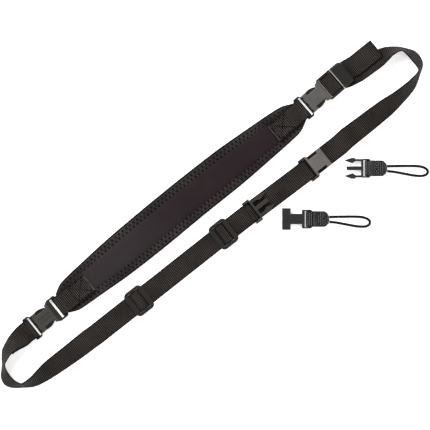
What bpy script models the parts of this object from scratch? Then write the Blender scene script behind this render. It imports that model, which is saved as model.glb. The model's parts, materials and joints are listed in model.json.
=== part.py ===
"""Camera neck strap: a padded section, two fastened buckles and one long webbing laid as a flat loop,
with two three-bar slides, two open buckle halves on the front run and two loose connectors with cords."""

import math

import bmesh
import bpy
from mathutils import Matrix, Vector

MM = 0.001

# Room left between pieces that touch, and the level of the table
GAP = 0.3 * MM
TABLE = 0.0

# Corners of a cut solid closer than this are one corner
WELD = 0.005 * MM

# Webbing: the width and thickness that every tape, slot and bar below follows
WEB_WIDTH = 25.4 * MM
WEB_THICK = 1.4 * MM
WEB_LAYER = WEB_THICK + GAP
WEB_CLEAR = GAP + WEB_THICK / 2
SLOT_ROOM = 0.4 * MM
SLOT_HALF = WEB_WIDTH / 2 + SLOT_ROOM
RAIL_WIDTH = 2.6 * MM
FRAME_HALF = SLOT_HALF + RAIL_WIDTH
BEND_STEP = 5.0 * MM
TURN_STEPS = 4

# Buckle halves: the plastic body, its cavity, and the prongs that catch in the side notches
BODY_HALF = 13.0 * MM
BODY_TALL = 9.0 * MM
BODY_LENGTH = 22.0 * MM
WALL = 1.1 * MM
CAVITY_TALL = 5.0 * MM
CAVITY_DEEP = BODY_LENGTH
NOTCH_HALF = 9.0 * MM
CATCH_START = 7.2 * MM
NOTCH_END = 21.0 * MM
SHOULDER_LENGTH = 5.0 * MM
SHOULDER_LAP = 1.0 * MM
PRONG_TALL = CAVITY_TALL - 2 * GAP
TONGUE_LENGTH = 18.0 * MM
TONGUE_HALF = 2.35 * MM
PRONG_LENGTH = 20.4 * MM
CATCH_SHY = 0.1 * MM
CATCH_HALF = BODY_HALF - CATCH_SHY
SEAT_GAP = 0.4 * MM
NOTCH_START = CATCH_START - SEAT_GAP - GAP
CATCH_SHARE = CATCH_START / PRONG_LENGTH
BASE_LENGTH = 2.6 * MM
BASE_TALL = 8.0 * MM
PLATE_TALL = 4.6 * MM
MALE_SLOT = 4.0 * MM
MALE_BAR = 4.6 * MM
FEMALE_SLOT = 4.5 * MM
FEMALE_BAR = 4.4 * MM
FRAME_LEAD = 3.0 * MM
CORNER = 2.5 * MM
SOFT_EDGE = 0.8 * MM
FINE_EDGE = 0.5 * MM

# One prong, as shares of the prong's length and of the catch's half width
PRONG_SHAPE = (
    (-0.05, 0.88),
    (CATCH_SHARE, 0.88),
    (CATCH_SHARE, 1.00),
    (0.574, 1.00),
    (0.99, 0.77),
    (1.00, 0.72),
    (0.52, 0.48),
    (0.31, 0.68),
    (-0.05, 0.67),
)

# Ladder lock at the right buckle's far end
LADDER_SLOT = WEB_THICK + 3 * GAP
LADDER_BAR = 13.3 * MM
LADDER_BAR_LOW = 2.2 * MM
LADDER_BAR_TALL = 3.6 * MM
LADDER_DROP = 3.4 * MM
LADDER_RAIL_TALL = 5.8 * MM
LIFT_LENGTH = 17.0 * MM
LIFT_HALF = 15.0 * MM
LIFT_CORNER = 4.5 * MM
LIFT_LOW = 3.9 * MM
LIFT_TALL = 6.0 * MM
LOAD_LEVEL = 0.4 * MM

# Three-bar slides
GLIDE_WINDOW = 14.7 * MM
GLIDE_BAR = 5.7 * MM
GLIDE_MIDDLE = 6.4 * MM
GLIDE_LOW = WEB_THICK + GAP
GLIDE_TALL = 3.8 * MM
GLIDE_MIDDLE_TALL = 1.6 * MM
GLIDE_CORNER = 5.5 * MM
GLIDE_RAIL = 4.1 * MM
GLIDE_HALF = SLOT_HALF + GLIDE_RAIL

# Open buckle halves on the front run: the webbing goes over their low end bar and under their body
SLIDE_BAR_TALL = 3.0 * MM
SLIDE_RAMP = 6.0 * MM
SLIDE_FEMALE_BODY = 22.9 * MM
SLIDE_FEMALE_SLOT = 3.2 * MM
SLIDE_FEMALE_BAR = 6.2 * MM

# Pad
PAD_LENGTH = 378.0 * MM
PAD_WIDTH = 54.0 * MM
PAD_THICK = 6.0 * MM
PAD_END_THICK = 3.2 * MM
PAD_OFFSET = 27.6 * MM
PAD_START = -PAD_OFFSET - PAD_LENGTH / 2
PAD_END = PAD_START + PAD_LENGTH
PAD_TAPER = 70.0 * MM
PAD_SECTIONS = 64
UNDER_SLOPE = 5.0 * MM

# Outline of the pad: share along its length, share of its width, centre line in shares of its width
PAD_OUTLINE = (
    (0.000, 0.520, -0.058),
    (0.030, 0.725, -0.043),
    (0.060, 0.790, -0.033),
    (0.129, 0.860, -0.022),
    (0.232, 0.955, -0.011),
    (0.377, 1.000, 0.011),
    (0.547, 0.993, 0.039),
    (0.705, 0.975, 0.046),
    (0.777, 0.928, 0.046),
    (0.851, 0.867, 0.046),
    (0.922, 0.800, 0.045),
    (0.965, 0.715, 0.046),
    (1.000, 0.480, 0.056),
)

# Section of the pad from its middle to its edge: share of the half width, share of the thickness
PAD_SECTION = (
    (0.00, 1.00),
    (0.35, 1.00),
    (0.58, 0.95),
    (0.67, 0.80),
    (0.72, 0.66),
    (0.86, 0.62),
    (0.97, 0.52),
    (1.00, 0.36),
)

# Webbing tabs on the pad
TAB_REACH = 43.0 * MM
TAB_HIDDEN = 3.0 * MM

# The loop: the line through its middle, how far out its outer edges lie, and its straps' centre lines
BEND_MIDDLE = 4.0 * MM
BEND_REACH = 41.3 * MM
SIDE_LINE = BEND_REACH - WEB_WIDTH / 2
PAD_SIDE = BEND_MIDDLE + SIDE_LINE
RUN_SIDE = BEND_MIDDLE - SIDE_LINE

# Where the pad and the hardware lie
PAD_SHIFT = 1.4 * MM
PAD_MIDDLE = PAD_SIDE + PAD_SHIFT
LEFT_GAP = 40.7 * MM
LEFT_DROP = 2.7 * MM
LEFT_MOUTH = (PAD_START - LEFT_GAP, PAD_SIDE - LEFT_DROP)
LEFT_YAW = math.radians(0.8)
RIGHT_GAP = 13.7 * MM
RIGHT_RISE = 5.6 * MM
RIGHT_MOUTH = (PAD_END + RIGHT_GAP, PAD_SIDE + RIGHT_RISE)
RIGHT_YAW = math.radians(3.0)
LOWER_REACH = 61.7 * MM
UPPER_REACH = 132.4 * MM
LOWER_CORNER = LEFT_MOUTH[0] - LOWER_REACH
UPPER_CORNER = RIGHT_MOUTH[0] + UPPER_REACH
GLIDE_LOWER_X = 139.5 * MM
GLIDE_UPPER_X = 6.3 * MM
GLIDE_PLACES = (("tri_glide_lower", -GLIDE_LOWER_X), ("tri_glide_upper", -GLIDE_UPPER_X))
SLIDER_MALE_X = 45.2 * MM
SLIDER_FEMALE_X = 152.9 * MM

# Waves of the front run: place along it in webbing widths, distance off its line in webbing widths
FRONT_RUN = (
    (-8.07, -0.016),
    (-4.57, -0.004),
    (-1.54, 0.012),
    (1.22, 0.020),
    (3.31, -0.016),
    (4.61, -0.035),
    (6.89, -0.039),
)

# The webbing round the lower-left bend: lead before the corner in webbing widths and share of the reach,
# first of its outer edge on the table, then of its inner edge above it
LOWER_BEND = (
    (1.600, 0.927, 1.795, 0.324),
    (1.138, 0.862, 1.429, 0.312),
    (0.744, 0.760, 1.063, 0.356),
    (0.350, 0.625, 0.650, 0.378),
    (0.035, 0.433, 0.217, 0.320),
    (-0.094, 0.332, 0.039, 0.276),
    (-0.350, 0.169, -0.059, 0.131),
    (-0.508, 0.063, -0.087, 0.022),
    (-0.618, -0.107, -0.102, -0.097),
    (-0.610, -0.223, -0.094, -0.199),
    (-0.484, -0.363, -0.055, -0.305),
    (-0.213, -0.513, 0.016, -0.402),
    (0.035, -0.615, 0.118, -0.489),
    (0.350, -0.751, 0.614, -0.506),
    (0.744, -0.843, 0.933, -0.475),
    (1.531, -0.918, 1.610, -0.414),
    (3.106, -0.985, 3.126, -0.397),
    (3.937, -1.000, 3.937, -0.385),
)

# The same round the upper-right bend
UPPER_BEND = (
    (4.724, -1.000, 4.724, -0.385),
    (2.343, -0.961, 2.382, -0.431),
    (1.555, -0.893, 1.661, -0.480),
    (0.768, -0.792, 0.921, -0.494),
    (0.374, -0.683, 0.559, -0.484),
    (0.059, -0.550, 0.165, -0.455),
    (-0.118, -0.477, -0.016, -0.409),
    (-0.394, -0.354, -0.059, -0.291),
    (-0.520, -0.157, -0.055, -0.133),
    (-0.516, 0.024, -0.047, -0.012),
    (-0.449, 0.155, -0.039, 0.109),
    (-0.248, 0.324, -0.016, 0.208),
    (-0.055, 0.467, 0.055, 0.363),
    (0.177, 0.598, 0.465, 0.414),
    (0.571, 0.758, 0.839, 0.383),
    (1.004, 0.845, 1.209, 0.354),
    (1.598, 0.925, 1.732, 0.361),
    (2.400, 0.997, 2.440, 0.379),
)
RUN_MARGIN = 12.0 * MM
RETURN_LEAD = 0.30
RETURN_FADE = 14.0 * MM

# The free tail beyond the ladder lock: webbing widths before the upper corner, and off the pad's side
TAIL_LINE = (
    (2.185, 0.285),
    (1.555, 0.293),
    (0.900, 0.297),
)
TAIL_LEAN = math.radians(6.0)
LOAD_LEAD = 3.13
LOAD_SHIFT = 3.6 * MM

# Loose connectors: places of the male base and the female mouth, turned together
CONNECTOR_TURN = math.radians(-38.0)
CONNECTOR_MALE_X = 178.0 * MM
CONNECTOR_MALE_OUT = 40.2 * MM
CONNECTOR_MALE_AT = (CONNECTOR_MALE_X, RUN_SIDE - CONNECTOR_MALE_OUT)
CONNECTOR_FEMALE_X = 62.3 * MM
CONNECTOR_FEMALE_OUT = 29.5 * MM
CONNECTOR_FEMALE_AT = (CONNECTOR_FEMALE_X, RUN_SIDE - CONNECTOR_FEMALE_OUT)
CONNECTOR_TAB_WIDTH = 19.0 * MM
CONNECTOR_SLOT_HALF = CONNECTOR_TAB_WIDTH / 2 + SLOT_ROOM
CONNECTOR_RAIL = 1.8 * MM
CONNECTOR_HALF = CONNECTOR_SLOT_HALF + CONNECTOR_RAIL
CONNECTOR_FLANGE = 10.5 * MM
CONNECTOR_LIP = 0.4 * MM
CONNECTOR_FLANGE_HALF = BODY_HALF + CONNECTOR_LIP
CONNECTOR_WAIST_HALF = 6.5 * MM
CONNECTOR_WAIST_END = 24.6 * MM
CONNECTOR_SLOT_START = 28.0 * MM
CONNECTOR_SLOT = 3.3 * MM
CONNECTOR_BAR = 6.0 * MM
CONNECTOR_TAB = 21.0 * MM
CONNECTOR_TAB_RAMP = 6.0 * MM
CORD_RADIUS = 1.6 * MM
CORD_REACH = 51.0 * MM
CORD_POINTS = 40

# Line of a cord loop: share of its reach, share of the reach across
CORD_LINE = (
    (0.00, -0.052),
    (0.30, -0.056),
    (0.58, -0.058),
    (0.80, -0.045),
    (0.93, 0.000),
    (0.985, 0.065),
    (0.96, 0.140),
    (0.86, 0.182),
    (0.66, 0.175),
    (0.38, 0.125),
    (0.15, 0.084),
    (0.00, 0.070),
)

# Colours and roughness of each kind of surface
WEBBING = ("webbing", (0.020, 0.018, 0.018), 0.85)
PADDING = ("pad_cloth", (0.030, 0.022, 0.024), 0.90)
PLASTIC = ("buckle_plastic", (0.085, 0.078, 0.070), 0.45)
DARK_PLASTIC = ("slide_plastic", (0.030, 0.028, 0.028), 0.40)
LOOSE_PLASTIC = ("connector_plastic", (0.040, 0.038, 0.038), 0.45)
CORD = ("cord", (0.015, 0.015, 0.015), 0.80)


def blend(table, share):
    """Row of a table at a place between its first and last first-column values, on a smooth curve."""
    rows = [tuple(row) for row in table]
    share = min(max(share, rows[0][0]), rows[-1][0])
    index = 0
    while index < len(rows) - 2 and share > rows[index + 1][0]:
        index += 1
    low, high = rows[index], rows[index + 1]
    span = high[0] - low[0]
    t = (share - low[0]) / span
    out = []
    for column in range(1, len(low)):
        before = rows[max(index - 1, 0)]
        after = rows[min(index + 2, len(rows) - 1)]
        slope_low = (high[column] - before[column]) / (high[0] - before[0])
        slope_high = (after[column] - low[column]) / (after[0] - low[0])
        value = (2 * t**3 - 3 * t**2 + 1) * low[column]
        value += (t**3 - 2 * t**2 + t) * span * slope_low
        value += (3 * t**2 - 2 * t**3) * high[column]
        value += (t**3 - t**2) * span * slope_high
        out.append(value)
    return out


def smooth_line(points, step):
    """Points along a smooth curve through the given points, no further apart than the step."""
    points = [Vector(point) for point in points]
    out = []
    for index in range(len(points) - 1):
        here, there = points[index], points[index + 1]
        before = points[index - 1] if index else here
        after = points[index + 2] if index + 2 < len(points) else there
        span = (there - here).length
        slope_here = (there - before) / max((there - here).length + (here - before).length, 1e-9)
        slope_there = (after - here) / max((after - there).length + span, 1e-9)
        count = max(1, math.ceil(span / step))
        for number in range(count):
            t = number / count
            point = (2 * t**3 - 3 * t**2 + 1) * here
            point += (t**3 - 2 * t**2 + t) * span * slope_here
            point += (3 * t**2 - 2 * t**3) * there
            point += (t**3 - t**2) * span * slope_there
            out.append(point)
    out.append(points[-1])
    return out


def rounded(points, radius, closed=True, steps=TURN_STEPS):
    """The outline with each corner turned on an arc of the given radius, or less where sides are short."""
    points = [Vector(point) for point in points]
    count = len(points)
    out = []
    for index in range(count):
        here = points[index]
        if not closed and index in (0, count - 1):
            out.append(here)
            continue
        back = points[index - 1] - here
        ahead = points[(index + 1) % count] - here
        turn = back.angle(ahead)
        if turn > math.radians(175):
            out.append(here)
            continue
        reach = radius / math.tan(turn / 2)
        reach = min(reach, back.length * 0.49, ahead.length * 0.49)
        bow = reach * math.tan(turn / 2)
        middle = here + (back.normalized() + ahead.normalized()).normalized() * bow / math.sin(turn / 2)
        first = here + back.normalized() * reach - middle
        last = here + ahead.normalized() * reach - middle
        for number in range(steps + 1):
            share = number / steps
            arm = first.lerp(last, share)
            out.append(middle + arm.normalized() * bow)
    return out


def mirrored(half):
    """Closed outline, anticlockwise, from the points of its left side."""
    return [(x, -y) for x, y in half] + [(x, y) for x, y in reversed(half)]


def inset(outline, depth):
    """The outline moved inward by the depth."""
    count = len(outline)
    out = []
    for index in range(count):
        here = Vector(outline[index][:2])
        back = (here - Vector(outline[index - 1][:2])).normalized()
        ahead = (Vector(outline[(index + 1) % count][:2]) - here).normalized()
        left_back = Vector((-back.y, back.x))
        left_ahead = Vector((-ahead.y, ahead.x))
        corner = left_back + left_ahead
        out.append(here + corner * depth / max(corner.length_squared / 2, 0.3))
    return out


def prism(outline, low, high, edge=0.0):
    """Rings of an upright block: the outline between two levels, its edges chamfered."""
    if not edge:
        return [[(point[0], point[1], level) for point in outline] for level in (low, high)]
    small = inset(outline, edge)
    rings = []
    for shape, level in ((small, low), (outline, low + edge), (outline, high - edge), (small, high)):
        rings.append([(point[0], point[1], level) for point in shape])
    return rings


def box(x_low, x_high, y_half, low, high, edge=0.0, y_middle=0.0):
    """Rings of a plain block."""
    outline = (
        (x_low, y_middle - y_half),
        (x_high, y_middle - y_half),
        (x_high, y_middle + y_half),
        (x_low, y_middle + y_half),
    )
    return prism(outline, low, high, edge)


def skin(bm, rings):
    """Closed skin through a row of rings, with a face over each end."""
    rows = [[bm.verts.new(point) for point in ring] for ring in rings]
    for lower, upper in zip(rows, rows[1:]):
        for index in range(len(lower)):
            after = (index + 1) % len(lower)
            bm.faces.new((lower[index], lower[after], upper[after], upper[index]))
    bm.faces.new(list(reversed(rows[0])))
    bm.faces.new(rows[-1])


def mesh_object(name, bodies):
    """Object made of one or more ring bodies."""
    bm = bmesh.new()
    for rings in bodies:
        skin(bm, rings)
    bmesh.ops.recalc_face_normals(bm, faces=bm.faces)
    mesh = bpy.data.meshes.new(name)
    bm.to_mesh(mesh)
    bm.free()
    obj = bpy.data.objects.new(name, mesh)
    bpy.context.scene.collection.objects.link(obj)
    return obj


def finish(obj, surface, root, place=(0.0, 0.0), yaw=0.0):
    """Put an object in its place under the root with its own material."""
    name, colour, roughness = surface
    material = bpy.data.materials.new(obj.name + "_" + name)
    material.use_nodes = True
    shader = material.node_tree.nodes["Principled BSDF"]
    shader.inputs["Base Color"].default_value = (*colour, 1.0)
    shader.inputs["Roughness"].default_value = roughness
    obj.data.materials.clear()
    obj.data.materials.append(material)
    obj.location = (place[0], place[1], 0.0)
    obj.rotation_euler = (0.0, 0.0, yaw)
    obj.parent = root
    return obj


def shaped(name, first, steps):
    """Object from one block, with blocks added to it (+) and cut from it (-) in order."""
    base = mesh_object(name, [first])
    tools = []
    for sign, bodies in steps:
        tool = mesh_object(name + "_tool", bodies)
        modifier = base.modifiers.new("step", "BOOLEAN")
        modifier.operation = "UNION" if sign == "+" else "DIFFERENCE"
        modifier.solver = "EXACT"
        modifier.object = tool
        tools.append(tool)
    bpy.context.view_layer.update()
    result = base.evaluated_get(bpy.context.evaluated_depsgraph_get())
    mesh = bpy.data.meshes.new_from_object(result)
    base.modifiers.clear()
    bm = bmesh.new()
    bm.from_mesh(mesh)
    bmesh.ops.remove_doubles(bm, verts=bm.verts, dist=WELD)
    bmesh.ops.dissolve_degenerate(bm, edges=bm.edges, dist=WELD)
    bm.to_mesh(mesh)
    bm.free()
    base.data = mesh
    for tool in tools:
        bpy.data.objects.remove(tool)
    return base


# Ribbons

def ribbon(name, stations):
    """Webbing solid through stations of centre, unit across direction and half width."""
    rings = []
    last = len(stations) - 1
    for index, (centre, across, half) in enumerate(stations):
        along = stations[min(index + 1, last)][0] - stations[max(index - 1, 0)][0]
        normal = along.cross(across).normalized()
        rise = normal * WEB_THICK / 2
        reach = across * half
        ring = [centre - reach - rise, centre + reach - rise, centre + reach + rise, centre - reach + rise]
        rings.append([(point.x, point.y, max(point.z, TABLE)) for point in ring])
    return mesh_object(name, [rings])


def from_local(place, yaw, x, y, z):
    """Point of a piece's own frame in the frame of the whole strap."""
    point = Matrix.Rotation(yaw, 3, "Z") @ Vector((x, y, z))
    return point + Vector((place[0], place[1], 0.0))


def around_bar(low, high, depth, ends):
    """Line of webbing round a bar, outward distance and level: in below, up the slot, out above."""
    below_end, above_end = ends
    line = [
        below_end[0],
        *below_end[1:],
        (depth, low - WEB_CLEAR),
        (-WEB_CLEAR, low - WEB_CLEAR),
        (-WEB_CLEAR, high + WEB_CLEAR),
        (depth, high + WEB_CLEAR),
        *above_end,
    ]
    return [tuple(point) for point in rounded(line, WEB_CLEAR, closed=False)]


def local_stations(line, place, yaw, start, direction, half, across_sign=1.0):
    """Stations of a line given as outward distance and level from a bar's slot face."""
    across = Matrix.Rotation(yaw, 3, "Z") @ Vector((0.0, across_sign, 0.0))
    return [(from_local(place, yaw, start + direction * u, 0.0, z), across, half) for u, z in line]


# Pad

def pad_lift(x):
    """Height of the pad's underside at a place along it: it rides on the tabs' lower layers."""
    cover = TAB_REACH + UNDER_SLOPE
    inside = min(x - PAD_START, PAD_END - x)
    share = min(max((cover + UNDER_SLOPE - inside) / UNDER_SLOPE, 0.0), 1.0)
    return WEB_LAYER * share


def pad_thickness(x):
    """Thickness at the pad's middle, growing from its ends."""
    inside = min(x - PAD_START, PAD_END - x)
    share = min(inside / PAD_TAPER, 1.0)
    return PAD_END_THICK + (PAD_THICK - PAD_END_THICK) * math.sin(share * math.pi / 2)


def pad_top(x):
    """Level of the pad's top at a place along it."""
    return pad_lift(x) + pad_thickness(x)


def build_pad(root):
    """Leaf-shaped pad with a flat border band and a raised middle."""
    rings = []
    for index in range(PAD_SECTIONS + 1):
        share = index / PAD_SECTIONS
        x = PAD_START + PAD_LENGTH * (0.5 - 0.5 * math.cos(math.pi * share))
        width, middle = blend(PAD_OUTLINE, (x - PAD_START) / PAD_LENGTH)
        y_middle = PAD_MIDDLE + middle * PAD_WIDTH
        half = width * PAD_WIDTH / 2
        low = pad_lift(x)
        thick = pad_thickness(x)
        ring = [(x, y_middle - half, low), (x, y_middle + half, low)]
        ring += [(x, y_middle + half * s, low + thick * t) for s, t in reversed(PAD_SECTION)]
        ring += [(x, y_middle - half * s, low + thick * t) for s, t in PAD_SECTION[1:]]
        rings.append(ring)
    finish(mesh_object("pad", [rings]), PADDING, root)


def pad_tab_stations(place, yaw, slot_face, direction, depth, end_x):
    """Stations of a tab folded round a buckle's bar, one layer on the pad and a shorter one under it."""
    high = frame_levels()[1]
    reach = abs(end_x - place[0]) - abs(slot_face)
    start = depth + UNDER_SLOPE
    above = []
    count = 6
    for index in range(count + 1):
        outward = start + (reach - start) * index / count
        x = place[0] + slot_face + direction * outward
        above.append((outward, pad_top(x) + WEB_CLEAR))
    below = ((reach - TAB_HIDDEN, WEB_THICK / 2),)
    line = around_bar(WEB_LAYER, high, depth, (below, above))
    return local_stations(line, place, yaw, slot_face, direction, WEB_WIDTH / 2)


# Buckles

def prongs(middle):
    """Two mirrored prongs and the tongue between them, ahead of the base."""
    low = middle - PRONG_TALL / 2
    high = middle + PRONG_TALL / 2
    one = [(x * PRONG_LENGTH, y * CATCH_HALF) for x, y in PRONG_SHAPE]
    other = [(x, -y) for x, y in reversed(one)]
    tongue = mirrored(((-BASE_LENGTH / 2, TONGUE_HALF), (TONGUE_LENGTH, TONGUE_HALF)))
    outlines = (list(reversed(one)), list(reversed(other)), tongue)
    return [prism(outline, low, high) for outline in outlines]


def male_half(name, middle, frame_half, slot_half, bar_low, bar_high, surface, place, yaw, root):
    """Male half: prongs and tongue, base, and an end frame whose bar lies between two levels."""
    end = -BASE_LENGTH - MALE_SLOT - MALE_BAR
    slot_start = -BASE_LENGTH - MALE_SLOT
    plate_low = middle - PLATE_TALL / 2
    plate_high = middle + PLATE_TALL / 2
    base_half = min(BODY_HALF, frame_half - GAP)
    base_low = max(middle - BASE_TALL / 2, TABLE)
    if bar_low < WEB_LAYER:
        base_low = WEB_LAYER
    half = (
        (end, frame_half),
        (-BASE_LENGTH, frame_half),
        (-BASE_LENGTH / 2, base_half - FINE_EDGE),
        (0.0, base_half - FINE_EDGE),
    )
    outline = rounded(mirrored(half), CORNER / 2)
    rail_y = slot_half + (frame_half - slot_half) / 2
    rail_half = (frame_half - slot_half) / 2
    slot = box(slot_start, -BASE_LENGTH, slot_half, plate_low - GAP, plate_high + GAP)
    first = prism([tuple(point) for point in outline], plate_low, plate_high, FINE_EDGE)
    base = box(-BASE_LENGTH, 0.0, base_half, base_low, middle + BASE_TALL / 2, SOFT_EDGE)
    steps = []
    if bar_low < WEB_LAYER:
        opening = box(end - GAP, -BASE_LENGTH, slot_half, plate_low - GAP, plate_high + GAP)
        steps.append(("-", [opening]))
        rails = [
            box(end, -BASE_LENGTH / 2, rail_half, bar_low, plate_high - FINE_EDGE, 0.0, side * rail_y)
            for side in (-1, 1)
        ]
        steps.append(("+", rails))
        bar = box(end, slot_start, frame_half, bar_low, bar_high, FINE_EDGE)
        steps.append(("+", [bar]))
    else:
        steps.append(("-", [slot]))
    steps.append(("+", [base]))
    steps.append(("+", prongs(middle)))
    finish(shaped(name, first, steps), surface, root, place, yaw)


def cavity(low, half):
    """Hollow of a female half, open at its mouth."""
    floor = low + (BODY_TALL - CAVITY_TALL) / 2
    return box(-GAP, CAVITY_DEEP, half, floor, floor + CAVITY_TALL)


def body_outline(length):
    """Outline of a female body with a notch in each side."""
    half = (
        (0.0, BODY_HALF),
        (NOTCH_START, BODY_HALF),
        (NOTCH_START, NOTCH_HALF),
        (NOTCH_END, NOTCH_HALF),
        (NOTCH_END, BODY_HALF),
        (length - SHOULDER_LENGTH + GAP, BODY_HALF),
        (length, FRAME_HALF),
    )
    return mirrored(half)


def left_female(root):
    """Female half with a plain slot for the pad's tab."""
    shoulder = BODY_LENGTH + SHOULDER_LENGTH
    slot_start = shoulder + FRAME_LEAD
    bar_start = slot_start + FEMALE_SLOT
    end = bar_start + FEMALE_BAR
    low, high = frame_levels()
    outline = rounded(mirrored(((BODY_LENGTH, BODY_HALF), (shoulder, FRAME_HALF), (end, FRAME_HALF))), CORNER)
    frame = prism([tuple(point) for point in outline], low, high, FINE_EDGE)
    slot = box(slot_start, bar_start, SLOT_HALF, low - GAP, high + GAP)
    first = prism(body_outline(shoulder + SHOULDER_LAP), TABLE, BODY_TALL, SOFT_EDGE)
    steps = (("+", [frame]), ("-", [cavity(TABLE, BODY_HALF - WALL)]), ("-", [slot]))
    finish(shaped("left_buckle_female", first, steps), PLASTIC, root, LEFT_MOUTH, LEFT_YAW)
    return bar_start


def frame_levels():
    """Low and high level of a plain end frame, on the body's middle."""
    middle = BODY_TALL / 2
    return middle - PLATE_TALL / 2, middle + PLATE_TALL / 2


def ladder_places():
    """Where the ladder lock's bar and lift tab start, and where the tab ends."""
    bar_start = BODY_LENGTH + SHOULDER_LENGTH + SHOULDER_LAP + LADDER_SLOT
    lift_start = bar_start + LADDER_BAR + LADDER_DROP
    return bar_start, lift_start, lift_start + LIFT_LENGTH


def right_female(root):
    """Female half with a ladder lock: two side rails, a bar and a lift tab."""
    shoulder = BODY_LENGTH + SHOULDER_LENGTH
    bar_start, lift_start, lift_end = ladder_places()
    bar_end = bar_start + LADDER_BAR
    rail_low = LADDER_BAR_LOW
    rail_high = rail_low + LADDER_RAIL_TALL
    rail_end = lift_start + LIFT_CORNER
    rail_y = (SLOT_HALF + FRAME_HALF) / 2
    rails = [
        box(shoulder - SHOULDER_LAP, rail_end, RAIL_WIDTH / 2, rail_low, rail_high, FINE_EDGE, side * rail_y)
        for side in (-1, 1)
    ]
    bar = box(bar_start, bar_end, rail_y, LADDER_BAR_LOW, LADDER_BAR_LOW + LADDER_BAR_TALL, FINE_EDGE)
    lift_outline = rounded(mirrored(((lift_start, FRAME_HALF), (lift_end, LIFT_HALF))), LIFT_CORNER)
    lift = prism([tuple(point) for point in lift_outline], LIFT_LOW, LIFT_LOW + LIFT_TALL, SOFT_EDGE * 2)
    first = prism(body_outline(shoulder + SHOULDER_LAP), TABLE, BODY_TALL, SOFT_EDGE)
    steps = (
        ("-", [cavity(TABLE, BODY_HALF - WALL)]),
        ("+", rails),
        ("+", [bar]),
        ("+", [lift]),
    )
    finish(shaped("right_buckle_female", first, steps), PLASTIC, root, RIGHT_MOUTH, RIGHT_YAW)


def glide(name, x, root):
    """Three-bar slide on the front run."""
    half_length = GLIDE_WINDOW / 2 + GLIDE_BAR
    high = GLIDE_LOW + GLIDE_TALL
    outline = rounded(mirrored(((-half_length, GLIDE_HALF), (half_length, GLIDE_HALF))), GLIDE_CORNER)
    rail_y = (SLOT_HALF + GLIDE_HALF) / 2
    rail_end = half_length - GLIDE_CORNER
    rails = [
        box(-rail_end, rail_end, GLIDE_RAIL / 2, TABLE, high - FINE_EDGE, 0.0, side * rail_y)
        for side in (-1, 1)
    ]
    window = box(-GLIDE_WINDOW / 2, GLIDE_WINDOW / 2, SLOT_HALF, TABLE - GAP, high + GAP)
    middle = box(-GLIDE_MIDDLE / 2, GLIDE_MIDDLE / 2, rail_y, GLIDE_LOW, GLIDE_LOW + GLIDE_MIDDLE_TALL, GAP)
    first = prism([tuple(point) for point in outline], GLIDE_LOW, high, SOFT_EDGE)
    steps = (("+", rails), ("-", [window]), ("+", [middle]))
    finish(shaped(name, first, steps), DARK_PLASTIC, root, (x, run_y(x)))


def slider_female(root):
    """Open female half on the front run, its body over the webbing and its end bar under it."""
    low = WEB_LAYER
    body = SLIDE_FEMALE_BODY
    bar_start = body + SLIDE_FEMALE_SLOT
    end = bar_start + SLIDE_FEMALE_BAR
    rail_y = (SLOT_HALF + FRAME_HALF) / 2
    rail_start = body - SHOULDER_LAP
    rails = [
        box(rail_start, end, RAIL_WIDTH / 2, TABLE, low + PLATE_TALL, FINE_EDGE, side * rail_y)
        for side in (-1, 1)
    ]
    bar = box(bar_start, end, FRAME_HALF, TABLE, SLIDE_BAR_TALL, FINE_EDGE)
    half = (
        (0.0, BODY_HALF),
        (NOTCH_START, BODY_HALF),
        (NOTCH_START, NOTCH_HALF),
        (NOTCH_END - SHOULDER_LAP, NOTCH_HALF),
        (NOTCH_END - SHOULDER_LAP, BODY_HALF),
        (NOTCH_END, FRAME_HALF - GAP),
        (body, FRAME_HALF - GAP),
    )
    first = prism(mirrored(half), low, low + BODY_TALL, FINE_EDGE)
    floor = low + (BODY_TALL - CAVITY_TALL) / 2
    hollow = box(-GAP, NOTCH_END - SHOULDER_LAP, BODY_HALF - WALL, floor, floor + CAVITY_TALL)
    steps = (("-", [hollow]), ("+", rails), ("+", [bar]))
    place = (SLIDER_FEMALE_X, run_y(SLIDER_FEMALE_X - body))
    finish(shaped("slider_female", first, steps), PLASTIC, root, place, math.pi)


# Webbing of the loop

def run_y(x):
    """Centre of the front run at a place along it."""
    return RUN_SIDE + blend(FRONT_RUN, x / WEB_WIDTH)[0] * WEB_WIDTH


def flat_station(x, z):
    """Station of the front run, lying flat at a level."""
    return (Vector((x, run_y(x), z)), Vector((0.0, 1.0, 0.0)), WEB_WIDTH / 2)


def bend_frames(corner, side, rows):
    """Centre, across direction, normal, lead and share of the reach of each station round a bend."""
    outer, inner = [], []
    for lead, share, inner_lead, inner_share in rows:
        places = ((outer, lead, share), (inner, inner_lead, inner_share))
        for edge, ahead, out in places:
            x = corner + side * ahead * WEB_WIDTH
            edge.append(Vector((x, BEND_MIDDLE + out * BEND_REACH, 0.0)))
    low, high = [outer[0]], [inner[0]]
    for index in range(len(rows) - 1):
        count = max(1, math.ceil((outer[index + 1] - outer[index]).length / BEND_STEP))
        for number in range(1, count + 1):
            low.append(smooth_between(outer, index, number / count))
            high.append(smooth_between(inner, index, number / count))
    last = len(low) - 1
    frames = []
    for index, point in enumerate(low):
        along = (low[min(index + 1, last)] - low[max(index - 1, 0)]).normalized()
        flat = (high[index] - point) / WEB_WIDTH
        shown = min(flat.length, 1.0)
        across = flat.normalized() * shown + Vector((0.0, 0.0, math.sqrt(1.0 - shown * shown)))
        normal = along.cross(across).normalized()
        edge = point + Vector((0.0, 0.0, WEB_THICK / 2 * shown))
        lead = (point.x - corner) * side
        share = (point.y - BEND_MIDDLE) / BEND_REACH
        frames.append((edge + across * WEB_WIDTH / 2, across, normal, lead, share))
    return frames


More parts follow.
